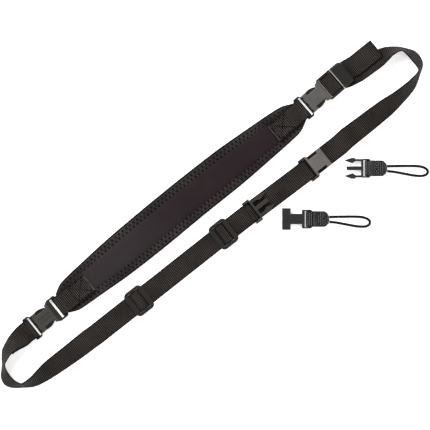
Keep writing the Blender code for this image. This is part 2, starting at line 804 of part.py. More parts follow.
def over_low_bar(start, end):
    """Stations of webbing that climbs over a low end bar and drops through the slot behind it."""
    above = SLIDE_BAR_TALL + WEB_CLEAR
    line = [
        (start - 2 * SLIDE_RAMP, WEB_THICK / 2),
        (start - SLIDE_RAMP, WEB_THICK / 2),
        (start - WEB_CLEAR, above),
        (end + WEB_CLEAR, above),
        (end + WEB_CLEAR, WEB_THICK / 2),
        (end + SLIDE_RAMP, WEB_THICK / 2),
    ]
    return [flat_station(x, z) for x, z in rounded(line, WEB_CLEAR, closed=False)]


def through_glide(x):
    """Stations of webbing that climbs over a slide's middle bar."""
    low = WEB_THICK / 2
    high = GLIDE_LOW + GLIDE_MIDDLE_TALL + WEB_CLEAR
    outer = GLIDE_WINDOW / 2 - WEB_CLEAR
    inner = GLIDE_MIDDLE / 2 + WEB_CLEAR
    line = [
        (-outer - SLIDE_RAMP, low),
        (-outer, low),
        (-inner, high),
        (inner, high),
        (outer, low),
        (outer + SLIDE_RAMP, low),
    ]
    return [flat_station(x + u, z) for u, z in rounded(line, WEB_CLEAR, closed=False)]


def run_between(start, end):
    """Flat stations of the open run between two places."""
    count = max(1, math.ceil((end - start) / (4 * BEND_STEP)))
    return [flat_station(start + (end - start) * index / count, WEB_THICK / 2) for index in range(1, count)]


def front_stations():
    """Stations of the whole front run, from the lower bend to the upper one."""
    male_end = SLIDER_MALE_X - BASE_LENGTH - MALE_SLOT - MALE_BAR
    female_bar = SLIDE_FEMALE_BODY + SLIDE_FEMALE_SLOT
    female_end = SLIDER_FEMALE_X - female_bar - SLIDE_FEMALE_BAR
    groups = [through_glide(x) for _, x in GLIDE_PLACES]
    groups.append(over_low_bar(male_end, male_end + MALE_BAR))
    groups.append(over_low_bar(female_end, female_end + SLIDE_FEMALE_BAR))
    start = LOWER_CORNER + LOWER_BEND[-1][0] * WEB_WIDTH + RUN_MARGIN
    end = UPPER_CORNER - UPPER_BEND[0][0] * WEB_WIDTH - RUN_MARGIN
    stations = [flat_station(start, WEB_THICK / 2)]
    for group in groups:
        stations += run_between(stations[-1][0].x, group[0][0].x)
        stations += group
    stations += run_between(stations[-1][0].x, end)
    stations.append(flat_station(end, WEB_THICK / 2))
    return stations


def smooth_stations(keys, step):
    """Stations through key stations, filled in along smooth curves of centre and across direction."""
    centres = [key[0] for key in keys]
    out = []
    for index in range(len(keys) - 1):
        first = max(index - 1, 0)
        last = min(index + 2, len(keys) - 1)
        part = centres[first : last + 1]
        count = max(1, math.ceil((centres[index + 1] - centres[index]).length / step))
        spans = [smooth_between(part, index - first, number / count) for number in range(count)]
        for number, centre in enumerate(spans):
            share = number / count
            across = keys[index][1].lerp(keys[index + 1][1], share).normalized()
            out.append((centre, across, keys[index][2]))
    out.append(keys[-1])
    return out


def smooth_between(points, index, t):
    """Point at a share of the way from one point of a short row to the next."""
    here, there = points[index], points[index + 1]
    before = points[index - 1] if index else here
    after = points[index + 2] if index + 2 < len(points) else there
    span = (there - here).length
    slope_here = (there - before) / max(span + (here - before).length, 1e-9)
    slope_there = (after - here) / max((after - there).length + span, 1e-9)
    point = (2 * t**3 - 3 * t**2 + 1) * here
    point += (t**3 - 2 * t**2 + t) * span * slope_here
    point += (3 * t**2 - 2 * t**3) * there
    return point + (t**3 - t**2) * span * slope_there


def lower_bend_stations():
    """Return layer, fold round the left buckle's bar, and the lower-left bend of the top layer."""
    frames = bend_frames(LOWER_CORNER, 1.0, LOWER_BEND)
    half = WEB_WIDTH / 2
    under = [frame for frame in frames if frame[4] > 0 and frame[3] >= RETURN_LEAD * WEB_WIDTH]
    stations = [(centre, across, half) for centre, across, _, _, _ in reversed(under)]
    low, high = frame_levels()
    slot_face = -SEAT_GAP - BASE_LENGTH - MALE_SLOT
    past = MALE_BAR + GAP
    fold = around_bar(low, high, MALE_BAR, (((past, low - WEB_CLEAR),), ((past, high + WEB_CLEAR),)))
    stations += local_stations(fold, LEFT_MOUTH, LEFT_YAW, slot_face, -1.0, half, -1.0)
    fading = 0.0
    for index, (centre, across, normal, lead, share) in enumerate(frames):
        if not (share > 0 and lead >= RETURN_LEAD * WEB_WIDTH):
            fading += (centre - frames[index - 1][0]).length
        shift = WEB_LAYER * max(1 - fading / RETURN_FADE, 0.0)
        stations.append((centre + normal * shift, across, half))
    return stations


def flank_height(frames, x, y):
    """Top level of the leaning webbing under a point, on the bend's straight side."""
    best = 0.0
    for here, there in zip(frames, frames[1:]):
        low, high = sorted((here[0].x, there[0].x))
        if not low - BEND_STEP <= x <= high + BEND_STEP:
            continue
        centre, across, normal, _, _ = here
        reach = (y - centre.y) / across.y
        level = centre.z + across.z * min(reach, WEB_WIDTH / 2) + WEB_THICK / 2
        best = max(best, level)
    return best


def upper_end_stations():
    """Upper bend, the ladder lock and the free tail."""
    bar_start, _, lift_end = ladder_places()
    frames = bend_frames(UPPER_CORNER, -1.0, UPPER_BEND)
    half = WEB_WIDTH / 2
    stations = [(centre, across, half) for centre, across, _, _, _ in frames]
    load = LOAD_LEVEL + WEB_THICK / 2
    bar_end = bar_start + LADDER_BAR
    over = LADDER_BAR_LOW + LADDER_BAR_TALL + WEB_CLEAR
    tail = LOAD_LEVEL + WEB_THICK + WEB_CLEAR
    line = [
        (bar_end, load),
        (bar_start - WEB_CLEAR, load),
        (bar_start - WEB_CLEAR, over),
        (bar_end + WEB_CLEAR, over),
        (bar_end + WEB_CLEAR, tail),
        (lift_end, tail),
    ]
    line = rounded(line, WEB_CLEAR, closed=False)
    back = Matrix.Rotation(RIGHT_YAW, 3, "Z") @ Vector((0.0, -1.0, 0.0))
    load_middle = Vector((UPPER_CORNER - LOAD_LEAD * WEB_WIDTH, PAD_SIDE + LOAD_SHIFT, load))
    stations.append((load_middle, stations[-1][1].lerp(back, 0.5).normalized(), half))
    stations += [(from_local(RIGHT_MOUTH, RIGHT_YAW, u, 0.0, z), back, half) for u, z in line]
    flank = [frame for frame in frames if frame[4] > 0]
    count = len(TAIL_LINE)
    for index, (lead, off) in enumerate(TAIL_LINE):
        x = UPPER_CORNER - lead * WEB_WIDTH
        y = PAD_SIDE + off * WEB_WIDTH
        lean = TAIL_LEAN * (index + 1) / count
        across = Vector((0.0, -math.cos(lean), math.sin(lean)))
        level = flank_height(flank, x, y - half) + WEB_CLEAR - half * math.sin(lean)
        stations.append((Vector((x, y, max(level, tail))), across, half))
    return stations


def webbing_stations():
    """Stations of the one long webbing from its sewn end to its free tail."""
    stations = lower_bend_stations()
    stations += front_stations()
    stations += upper_end_stations()
    return smooth_stations(stations, BEND_STEP)


# Loose connectors

def connector_tab_stations(place, yaw, slot_face, direction, depth):
    """Stations of a tab folded round a connector's bar, both layers sewn flat, with rounded ends."""
    high = frame_levels()[1]
    start = depth + CONNECTOR_TAB_RAMP
    reach = depth + CONNECTOR_TAB
    half = CONNECTOR_TAB_WIDTH / 2
    upper = WEB_LAYER + WEB_THICK / 2
    ends = []
    count = 5
    for index in range(count + 1):
        turn = math.pi / 2 * index / count
        ends.append((reach - half * 0.7 * (1 - math.sin(turn)), max(math.cos(turn), 0.35)))
    below = [(reach - half * 0.7, WEB_THICK / 2), (start, WEB_THICK / 2)]
    above = [(start, upper), (reach - half * 0.7, upper)]
    line = around_bar(WEB_LAYER, high, depth, (below, above))
    stations = local_stations(line, place, yaw, slot_face, direction, half)
    across = stations[0][1]
    lower_end = [
        (from_local(place, yaw, slot_face + direction * u, 0.0, WEB_THICK / 2), across, half * share)
        for u, share in ends[1:]
    ]
    upper_end = [
        (from_local(place, yaw, slot_face + direction * u, 0.0, upper), across, half * share)
        for u, share in ends[1:]
    ]
    return list(reversed(lower_end)) + stations + upper_end


def cord_points(start, direction, side):
    """Points of a cord loop in its connector's own frame."""
    level = CORD_RADIUS + GAP
    keys = [(start + direction * (GAP + u * CORD_REACH), side * v * CORD_REACH, level) for u, v in CORD_LINE]
    return smooth_line(keys, CORD_REACH / CORD_POINTS * 2)


def cord_loop(name, place, yaw, start, direction, side, root):
    """Cord loop lying on the table beyond a connector's tab."""
    points = cord_points(start, direction, side)
    curve = bpy.data.curves.new(name, "CURVE")
    curve.dimensions = "3D"
    curve.bevel_depth = CORD_RADIUS
    curve.bevel_resolution = 2
    curve.use_fill_caps = True
    spline = curve.splines.new("POLY")
    spline.points.add(len(points) - 1)
    for target, point in zip(spline.points, points):
        target.co = (*point, 1.0)
    obj = bpy.data.objects.new(name, curve)
    bpy.context.scene.collection.objects.link(obj)
    finish(obj, CORD, root, place, yaw)


def connector_female(root):
    """Female connector: flange at the mouth, narrow waist and a slotted end."""
    place, yaw = CONNECTOR_FEMALE_AT, CONNECTOR_TURN
    bar_start = CONNECTOR_SLOT_START + CONNECTOR_SLOT
    end = bar_start + CONNECTOR_BAR
    low, high = frame_levels()
    outline = mirrored(
        (
            (0.0, CONNECTOR_FLANGE_HALF),
            (CONNECTOR_FLANGE, CONNECTOR_FLANGE_HALF),
            (CONNECTOR_FLANGE, CONNECTOR_WAIST_HALF),
            (CONNECTOR_WAIST_END, CONNECTOR_WAIST_HALF),
            (CONNECTOR_WAIST_END, CONNECTOR_HALF),
            (CONNECTOR_SLOT_START, CONNECTOR_HALF),
        )
    )
    frame_outline = rounded(mirrored(((CONNECTOR_WAIST_END, CONNECTOR_HALF), (end, CONNECTOR_HALF))), CORNER)
    frame = prism([tuple(point) for point in frame_outline], low, high, FINE_EDGE)
    slot = box(CONNECTOR_SLOT_START, bar_start, CONNECTOR_SLOT_HALF, low - GAP, high + GAP)
    first = prism(outline, TABLE, BODY_TALL, FINE_EDGE)
    steps = (("+", [frame]), ("-", [cavity(TABLE, BODY_HALF - WALL)]), ("-", [slot]))
    finish(shaped("connector_female_buckle", first, steps), LOOSE_PLASTIC, root, place, yaw)
    tab = connector_tab_stations(place, yaw, bar_start, 1.0, CONNECTOR_BAR)
    finish(ribbon("connector_female_tab", tab), WEBBING, root)
    cord_loop("connector_female_cord", place, yaw, end + CONNECTOR_TAB, 1.0, -1.0, root)


def connector_male(root):
    """Male connector with its tab and cord."""
    place, yaw = CONNECTOR_MALE_AT, CONNECTOR_TURN + math.pi
    low, high = frame_levels()
    name = "connector_male_buckle"
    middle = BODY_TALL / 2
    male_half(name, middle, CONNECTOR_HALF, CONNECTOR_SLOT_HALF, low, high, LOOSE_PLASTIC, place, yaw, root)
    slot_face = -BASE_LENGTH - MALE_SLOT
    tab = connector_tab_stations(place, yaw, slot_face, -1.0, MALE_BAR)
    finish(ribbon("connector_male_tab", tab), WEBBING, root)
    cord_loop("connector_male_cord", place, yaw, slot_face - MALE_BAR - CONNECTOR_TAB, -1.0, 1.0, root)


def centre_on_table(root):
    """Move everything so that the loop's box stands centred on the origin."""
    bpy.context.view_layer.update()
    points = []
    for obj in bpy.data.objects:
        if obj.type == "MESH":
            points += [obj.matrix_world @ Vector(corner) for corner in obj.bound_box]
    low = [min(point[axis] for point in points) for axis in range(3)]
    high = [max(point[axis] for point in points) for axis in range(3)]
    root.location = (-(low[0] + high[0]) / 2, -(low[1] + high[1]) / 2, -low[2])


def build():
    """Build the whole strap."""
    for obj in list(bpy.data.objects):
        bpy.data.objects.remove(obj)
    root = bpy.data.objects.new("strap", None)
    bpy.context.scene.collection.objects.link(root)
    low, high = frame_levels()
    middle = BODY_TALL / 2
    build_pad(root)
    left_bar = left_female(root)
    left_seat = from_local(LEFT_MOUTH, LEFT_YAW, -SEAT_GAP, 0.0, 0.0)
    right_seat = from_local(RIGHT_MOUTH, RIGHT_YAW, -SEAT_GAP, 0.0, 0.0)
    male_half(
        "left_buckle_male", middle, FRAME_HALF, SLOT_HALF, low, high, PLASTIC, left_seat, LEFT_YAW, root
    )
    male_half(
        "right_buckle_male", middle, FRAME_HALF, SLOT_HALF, low, high, PLASTIC, right_seat, RIGHT_YAW, root
    )
    right_female(root)
    left_end = PAD_START + TAB_REACH
    right_end = PAD_END - TAB_REACH
    left_tab = pad_tab_stations(LEFT_MOUTH, LEFT_YAW, left_bar, 1.0, FEMALE_BAR, left_end)
    finish(ribbon("pad_tab_left", left_tab), WEBBING, root)
    right_face = -SEAT_GAP - BASE_LENGTH - MALE_SLOT
    right_tab = pad_tab_stations(RIGHT_MOUTH, RIGHT_YAW, right_face, -1.0, MALE_BAR, right_end)
    finish(ribbon("pad_tab_right", right_tab), WEBBING, root)
    for name, x in GLIDE_PLACES:
        glide(name, x, root)
    slide_middle = WEB_LAYER + BODY_TALL / 2
    male_half(
        "slider_male",
        slide_middle,
        FRAME_HALF,
        SLOT_HALF,
        TABLE,
        SLIDE_BAR_TALL,
        PLASTIC,
        (SLIDER_MALE_X, run_y(SLIDER_MALE_X)),
        0.0,
        root,
    )
    slider_female(root)
    finish(ribbon("long_webbing", webbing_stations()), WEBBING, root)
    connector_male(root)
    connector_female(root)
    centre_on_table(root)


build()
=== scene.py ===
"""Camera neck strap laid out as a flat loop, dressed with cloth, webbing, thread and moulded plastic."""

import json
import math

import bmesh
import bpy
from mathutils import Matrix, Vector

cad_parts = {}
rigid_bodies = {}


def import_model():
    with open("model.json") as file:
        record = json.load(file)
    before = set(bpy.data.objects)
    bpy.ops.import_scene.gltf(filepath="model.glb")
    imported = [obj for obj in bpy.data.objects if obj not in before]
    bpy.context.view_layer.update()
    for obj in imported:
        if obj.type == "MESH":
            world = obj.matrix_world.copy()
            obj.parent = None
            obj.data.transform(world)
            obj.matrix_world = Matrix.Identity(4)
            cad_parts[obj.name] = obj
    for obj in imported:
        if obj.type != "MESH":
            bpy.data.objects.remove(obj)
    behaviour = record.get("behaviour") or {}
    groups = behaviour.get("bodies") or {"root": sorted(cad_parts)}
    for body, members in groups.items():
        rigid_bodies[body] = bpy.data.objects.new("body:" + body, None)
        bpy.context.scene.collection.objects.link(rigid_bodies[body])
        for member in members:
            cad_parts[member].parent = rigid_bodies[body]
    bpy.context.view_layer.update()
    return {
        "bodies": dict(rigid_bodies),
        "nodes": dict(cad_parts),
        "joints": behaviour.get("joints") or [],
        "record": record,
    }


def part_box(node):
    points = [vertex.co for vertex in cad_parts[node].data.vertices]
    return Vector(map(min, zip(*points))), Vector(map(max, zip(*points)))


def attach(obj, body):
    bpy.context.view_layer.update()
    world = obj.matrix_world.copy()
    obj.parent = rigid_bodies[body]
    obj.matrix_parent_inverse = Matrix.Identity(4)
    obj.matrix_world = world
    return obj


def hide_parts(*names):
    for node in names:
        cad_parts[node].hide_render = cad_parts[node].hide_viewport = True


bl_info = {
    "name": "Camera Neck Strap",
    "version": (1, 0, 0),
    "blender": (4, 5, 0),
    "location": "3D View > Sidebar > Strap",
    "description": "Builds a padded camera neck strap with its webbing, buckles, slides and connectors",
    "category": "Add Mesh",
}

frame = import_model()

MM = 0.001

# Room left between pieces that touch
GAP = 0.3 * MM

# Webbing: the width and thickness that every tape below follows
WEB_WIDTH = 25.4 * MM
WEB_THICK = 1.4 * MM
WEB_LAYER = WEB_THICK + GAP
WEB_CLEAR = GAP + WEB_THICK / 2
BEND_STEP = 5.0 * MM

# Corners of a line: steps round each, the angle taken as straight, the most of a side that one takes up
TURN_STEPS = 4
STRAIGHT = math.radians(175)
SIDE_SHARE = 0.49
TINY = 1e-9

# Buckle halves: the body, its prongs, and the end frames that the webbing goes round
BODY_HALF = 13.0 * MM
BODY_TALL = 9.0 * MM
BODY_LENGTH = 22.0 * MM
CAVITY_TALL = 5.0 * MM
NOTCH_END = 21.0 * MM
SHOULDER_LENGTH = 5.0 * MM
SHOULDER_LAP = 1.0 * MM
PRONG_TALL = CAVITY_TALL - 2 * GAP
SEAT_GAP = 0.4 * MM
BASE_LENGTH = 2.6 * MM
PLATE_TALL = 4.6 * MM
MALE_SLOT = 4.0 * MM
MALE_BAR = 4.6 * MM
FEMALE_SLOT = 4.5 * MM
FEMALE_BAR = 4.4 * MM
FRAME_LEAD = 3.0 * MM
SOFT_EDGE = 0.8 * MM
FINE_EDGE = 0.5 * MM

# Ladder lock at the right buckle's far end
LADDER_SLOT = WEB_THICK + 3 * GAP
LADDER_BAR = 13.3 * MM
LADDER_BAR_LOW = 2.2 * MM
LADDER_BAR_TALL = 3.6 * MM
LADDER_DROP = 3.4 * MM
LIFT_LENGTH = 17.0 * MM
LIFT_CORNER = 4.5 * MM
LOAD_LEVEL = 0.4 * MM

# Three-bar slides
GLIDE_WINDOW = 14.7 * MM
GLIDE_MIDDLE = 6.4 * MM
GLIDE_LOW = WEB_THICK + GAP
GLIDE_MIDDLE_TALL = 1.6 * MM

# Open buckle halves on the front run: the webbing goes over their low end bar and under their body
SLIDE_BAR_TALL = 3.0 * MM
SLIDE_RAMP = 6.0 * MM
SLIDE_FEMALE_BODY = 22.9 * MM
SLIDE_FEMALE_SLOT = 3.2 * MM
SLIDE_FEMALE_BAR = 6.2 * MM

# Pad
PAD_LENGTH = 378.0 * MM
PAD_WIDTH = 54.0 * MM
PAD_THICK = 6.0 * MM
PAD_END_THICK = 3.2 * MM
PAD_OFFSET = 27.6 * MM
PAD_START = -PAD_OFFSET - PAD_LENGTH / 2
PAD_END = PAD_START + PAD_LENGTH
PAD_TAPER = 70.0 * MM
UNDER_SLOPE = 5.0 * MM

# Outline of the pad: share along its length, share of its width, centre line in shares of its width
PAD_OUTLINE = (
    (0.000, 0.520, -0.058),
    (0.030, 0.725, -0.043),
    (0.060, 0.790, -0.033),
    (0.129, 0.860, -0.022),
    (0.232, 0.955, -0.011),
    (0.377, 1.000, 0.011),
    (0.547, 0.993, 0.039),
    (0.705, 0.975, 0.046),
    (0.777, 0.928, 0.046),
    (0.851, 0.867, 0.046),
    (0.922, 0.800, 0.045),
    (0.965, 0.715, 0.046),
    (1.000, 0.480, 0.056),
)

# Webbing tabs on the pad
TAB_REACH = 43.0 * MM
TAB_HIDDEN = 3.0 * MM

# The loop: the line through its middle, how far out its outer edges lie, and its straps' centre lines
BEND_MIDDLE = 4.0 * MM
BEND_REACH = 41.3 * MM
SIDE_LINE = BEND_REACH - WEB_WIDTH / 2
PAD_SIDE = BEND_MIDDLE + SIDE_LINE
RUN_SIDE = BEND_MIDDLE - SIDE_LINE

# Where the pad and the hardware lie
PAD_SHIFT = 1.4 * MM
PAD_MIDDLE = PAD_SIDE + PAD_SHIFT
LEFT_GAP = 40.7 * MM
LEFT_DROP = 2.7 * MM
LEFT_MOUTH = (PAD_START - LEFT_GAP, PAD_SIDE - LEFT_DROP)
LEFT_YAW = math.radians(0.8)
RIGHT_GAP = 13.7 * MM
RIGHT_RISE = 5.6 * MM
RIGHT_MOUTH = (PAD_END + RIGHT_GAP, PAD_SIDE + RIGHT_RISE)
RIGHT_YAW = math.radians(3.0)
LOWER_REACH = 61.7 * MM
UPPER_REACH = 132.4 * MM
LOWER_CORNER = LEFT_MOUTH[0] - LOWER_REACH
UPPER_CORNER = RIGHT_MOUTH[0] + UPPER_REACH
GLIDE_LOWER_X = 139.5 * MM
GLIDE_UPPER_X = 6.3 * MM
GLIDE_PLACES = (("tri_glide_lower", -GLIDE_LOWER_X), ("tri_glide_upper", -GLIDE_UPPER_X))
SLIDER_MALE_X = 45.2 * MM
SLIDER_FEMALE_X = 152.9 * MM

# Waves of the front run: place along it in webbing widths, distance off its line in webbing widths
FRONT_RUN = (
    (-8.07, -0.016),
    (-4.57, -0.004),
    (-1.54, 0.012),
    (1.22, 0.020),
    (3.31, -0.016),
    (4.61, -0.035),
    (6.89, -0.039),
)

# The webbing round the lower-left bend: lead before the corner in webbing widths and share of the reach,
# first of its outer edge on the table, then of its inner edge above it
LOWER_BEND = (
    (1.600, 0.927, 1.795, 0.324),
    (1.138, 0.862, 1.429, 0.312),
    (0.744, 0.760, 1.063, 0.356),
    (0.350, 0.625, 0.650, 0.378),
    (0.035, 0.433, 0.217, 0.320),
    (-0.094, 0.332, 0.039, 0.276),
    (-0.350, 0.169, -0.059, 0.131),
    (-0.508, 0.063, -0.087, 0.022),
    (-0.618, -0.107, -0.102, -0.097),
    (-0.610, -0.223, -0.094, -0.199),
    (-0.484, -0.363, -0.055, -0.305),
    (-0.213, -0.513, 0.016, -0.402),
    (0.035, -0.615, 0.118, -0.489),
    (0.350, -0.751, 0.614, -0.506),
    (0.744, -0.843, 0.933, -0.475),
    (1.531, -0.918, 1.610, -0.414),
    (3.106, -0.985, 3.126, -0.397),
    (3.937, -1.000, 3.937, -0.385),
)

# The same round the upper-right bend
UPPER_BEND = (
    (4.724, -1.000, 4.724, -0.385),
    (2.343, -0.961, 2.382, -0.431),
    (1.555, -0.893, 1.661, -0.480),
    (0.768, -0.792, 0.921, -0.494),
    (0.374, -0.683, 0.559, -0.484),
    (0.059, -0.550, 0.165, -0.455),
    (-0.118, -0.477, -0.016, -0.409),
    (-0.394, -0.354, -0.059, -0.291),
    (-0.520, -0.157, -0.055, -0.133),
    (-0.516, 0.024, -0.047, -0.012),
    (-0.449, 0.155, -0.039, 0.109),
    (-0.248, 0.324, -0.016, 0.208),
    (-0.055, 0.467, 0.055, 0.363),
    (0.177, 0.598, 0.465, 0.414),
    (0.571, 0.758, 0.839, 0.383),
    (1.004, 0.845, 1.209, 0.354),
    (1.598, 0.925, 1.732, 0.361),
    (2.400, 0.997, 2.440, 0.379),
)
RUN_MARGIN = 12.0 * MM
RETURN_LEAD = 0.30
RETURN_FADE = 14.0 * MM

# The free tail beyond the ladder lock: webbing widths before the upper corner, and off the pad's side
TAIL_LINE = (
    (2.185, 0.285),
    (1.555, 0.293),
    (0.900, 0.297),
)
TAIL_LEAN = math.radians(6.0)
LOAD_LEAD = 3.13
LOAD_SHIFT = 3.6 * MM

# Loose connectors: places of the male base and the female mouth, turned together
CONNECTOR_TURN = math.radians(-38.0)
CONNECTOR_MALE_X = 178.0 * MM
CONNECTOR_MALE_OUT = 40.2 * MM
CONNECTOR_MALE_AT = (CONNECTOR_MALE_X, RUN_SIDE - CONNECTOR_MALE_OUT)
CONNECTOR_FEMALE_X = 62.3 * MM
CONNECTOR_FEMALE_OUT = 29.5 * MM
CONNECTOR_FEMALE_AT = (CONNECTOR_FEMALE_X, RUN_SIDE - CONNECTOR_FEMALE_OUT)
CONNECTOR_TAB_WIDTH = 19.0 * MM
CONNECTOR_SLOT_START = 28.0 * MM
CONNECTOR_SLOT = 3.3 * MM
CONNECTOR_BAR = 6.0 * MM
CONNECTOR_TAB = 21.0 * MM
CONNECTOR_TAB_RAMP = 6.0 * MM
TAB_ROUND = 0.7
TAB_ROUND_STEPS = 5
TAB_END_SHARE = 0.35
CORD_RADIUS = 1.6 * MM
CORD_REACH = 51.0 * MM
CORD_POINTS = 40
CORD_SIDES = 12

# Line of a cord loop: share of its reach, share of the reach across
CORD_LINE = (
    (0.00, -0.052),
    (0.30, -0.056),
    (0.58, -0.058),
    (0.80, -0.045),
    (0.93, 0.000),
    (0.985, 0.065),
    (0.96, 0.140),
    (0.86, 0.182),
    (0.66, 0.175),
    (0.38, 0.125),
    (0.15, 0.084),
    (0.00, 0.070),
)


# Lines that the webbing, tabs and cords follow

def blend(table, share):
    """Row of a table at a place between its first and last first-column values, on a smooth curve."""
    rows = [tuple(row) for row in table]
    share = min(max(share, rows[0][0]), rows[-1][0])
    index = 0
    while index < len(rows) - 2 and share > rows[index + 1][0]:
        index += 1
    low, high = rows[index], rows[index + 1]
    span = high[0] - low[0]
    t = (share - low[0]) / span
    out = []
    for column in range(1, len(low)):
        before = rows[max(index - 1, 0)]
        after = rows[min(index + 2, len(rows) - 1)]
        slope_low = (high[column] - before[column]) / (high[0] - before[0])
        slope_high = (after[column] - low[column]) / (after[0] - low[0])
        value = (2 * t**3 - 3 * t**2 + 1) * low[column]
        value += (t**3 - 2 * t**2 + t) * span * slope_low
        value += (3 * t**2 - 2 * t**3) * high[column]
        value += (t**3 - t**2) * span * slope_high
        out.append(value)
    return out


def smooth_between(points, index, t):
    """Point at a share of the way from one point of a row to the next, on a smooth curve."""
    here, there = points[index], points[index + 1]
    before = points[index - 1] if index else here
    after = points[index + 2] if index + 2 < len(points) else there
    span = (there - here).length
    slope_here = (there - before) / max(span + (here - before).length, TINY)
    slope_there = (after - here) / max((after - there).length + span, TINY)
    point = (2 * t**3 - 3 * t**2 + 1) * here
    point += (t**3 - 2 * t**2 + t) * span * slope_here
    point += (3 * t**2 - 2 * t**3) * there
    return point + (t**3 - t**2) * span * slope_there


def smooth_line(points, step):
    """Points along a smooth curve through the given points, no further apart than the step."""
    points = [Vector(point) for point in points]
    out = []
    for index in range(len(points) - 1):
        count = max(1, math.ceil((points[index + 1] - points[index]).length / step))
        out += [smooth_between(points, index, number / count) for number in range(count)]
    return out + [points[-1]]


def rounded(points, radius):
    """The open line with each corner turned on an arc of the given radius, or less where sides are short."""
    points = [Vector(point) for point in points]
    out = [points[0]]
    for before, here, following in zip(points, points[1:], points[2:]):
        back = before - here
        ahead = following - here
        turn = back.angle(ahead)
        if turn > STRAIGHT:
            out.append(here)
            continue
        reach = min(radius / math.tan(turn / 2), back.length * SIDE_SHARE, ahead.length * SIDE_SHARE)
        bow = reach * math.tan(turn / 2)
        middle = here + (back.normalized() + ahead.normalized()).normalized() * bow / math.sin(turn / 2)
        first = here + back.normalized() * reach - middle
        last = here + ahead.normalized() * reach - middle
        for number in range(TURN_STEPS + 1):
            arm = first.lerp(last, number / TURN_STEPS)
            out.append(middle + arm.normalized() * bow)
    return out + [points[-1]]


def from_local(place, yaw, x, y, z):
    """Point of a piece's own frame in the frame of the whole strap."""
    point = Matrix.Rotation(yaw, 3, "Z") @ Vector((x, y, z))
    return point + Vector((place[0], place[1], 0.0))


def around_bar(low, high, depth, ends):
    """Line of webbing round a bar, outward distance and level: in below, up the slot, out above."""
    below_end, above_end = ends
    line = [
        *below_end,
        (depth, low - WEB_CLEAR),
        (-WEB_CLEAR, low - WEB_CLEAR),
        (-WEB_CLEAR, high + WEB_CLEAR),
        (depth, high + WEB_CLEAR),
        *above_end,
    ]
    return [tuple(point) for point in rounded(line, WEB_CLEAR)]


def local_stations(line, place, yaw, start, direction, half, across_sign=1.0):
    """Stations of a line given as outward distance and level from a bar's slot face."""
    across = Matrix.Rotation(yaw, 3, "Z") @ Vector((0.0, across_sign, 0.0))
    return [(from_local(place, yaw, start + direction * u, 0.0, z), across, half) for u, z in line]


def frame_levels():
    """Low and high level of a plain end frame, on the body's middle."""
    middle = BODY_TALL / 2
    return middle - PLATE_TALL / 2, middle + PLATE_TALL / 2


def ladder_places():
    """Where the ladder lock's bar and lift tab start, and where the tab ends."""
    bar_start = BODY_LENGTH + SHOULDER_LENGTH + SHOULDER_LAP + LADDER_SLOT
    lift_start = bar_start + LADDER_BAR + LADDER_DROP
    return bar_start, lift_start, lift_start + LIFT_LENGTH


def pad_lift(x):
    """Height of the pad's underside at a place along it: it rides on the tabs' lower layers."""
    cover = TAB_REACH + UNDER_SLOPE
    inside = min(x - PAD_START, PAD_END - x)
    share = min(max((cover + UNDER_SLOPE - inside) / UNDER_SLOPE, 0.0), 1.0)
    return WEB_LAYER * share


def pad_thickness(x):
    """Thickness at the pad's middle, growing from its ends."""
    inside = min(x - PAD_START, PAD_END - x)
    share = min(inside / PAD_TAPER, 1.0)
    return PAD_END_THICK + (PAD_THICK - PAD_END_THICK) * math.sin(share * math.pi / 2)


def pad_top(x):
    """Level of the pad's top at a place along it."""
    return pad_lift(x) + pad_thickness(x)


def pad_tab_stations(place, yaw, slot_face, direction, depth, end_x):
    """Stations of a tab folded round a buckle's bar, one layer on the pad and a shorter one under it."""
    high = frame_levels()[1]
    reach = abs(end_x - place[0]) - abs(slot_face)
    start = depth + UNDER_SLOPE
    above = []
    count = 6
    for index in range(count + 1):
        outward = start + (reach - start) * index / count
        x = place[0] + slot_face + direction * outward
        above.append((outward, pad_top(x) + WEB_CLEAR))
    below = ((reach - TAB_HIDDEN, WEB_THICK / 2),)
    line = around_bar(WEB_LAYER, high, depth, (below, above))
    return local_stations(line, place, yaw, slot_face, direction, WEB_WIDTH / 2)


def run_y(x):
    """Centre of the front run at a place along it."""
    return RUN_SIDE + blend(FRONT_RUN, x / WEB_WIDTH)[0] * WEB_WIDTH


def flat_station(x, z):
    """Station of the front run, lying flat at a level."""
    return (Vector((x, run_y(x), z)), Vector((0.0, 1.0, 0.0)), WEB_WIDTH / 2)


def bend_frames(corner, side, rows):
    """Centre, across direction, normal, lead and share of the reach of each station round a bend."""
    outer, inner = [], []
    for lead, share, inner_lead, inner_share in rows:
        places = ((outer, lead, share), (inner, inner_lead, inner_share))
        for edge, ahead, out in places:
            x = corner + side * ahead * WEB_WIDTH
            edge.append(Vector((x, BEND_MIDDLE + out * BEND_REACH, 0.0)))
    low, high = [outer[0]], [inner[0]]
    for index in range(len(rows) - 1):
        count = max(1, math.ceil((outer[index + 1] - outer[index]).length / BEND_STEP))
        for number in range(1, count + 1):
            low.append(smooth_between(outer, index, number / count))
            high.append(smooth_between(inner, index, number / count))
    last = len(low) - 1
    frames = []
    for index, point in enumerate(low):
        along = (low[min(index + 1, last)] - low[max(index - 1, 0)]).normalized()
        flat = (high[index] - point) / WEB_WIDTH
        shown = min(flat.length, 1.0)
        across = flat.normalized() * shown + Vector((0.0, 0.0, math.sqrt(1.0 - shown * shown)))
        normal = along.cross(across).normalized()
        edge = point + Vector((0.0, 0.0, WEB_THICK / 2 * shown))
        lead = (point.x - corner) * side
        share = (point.y - BEND_MIDDLE) / BEND_REACH
        frames.append((edge + across * WEB_WIDTH / 2, across, normal, lead, share))
    return frames


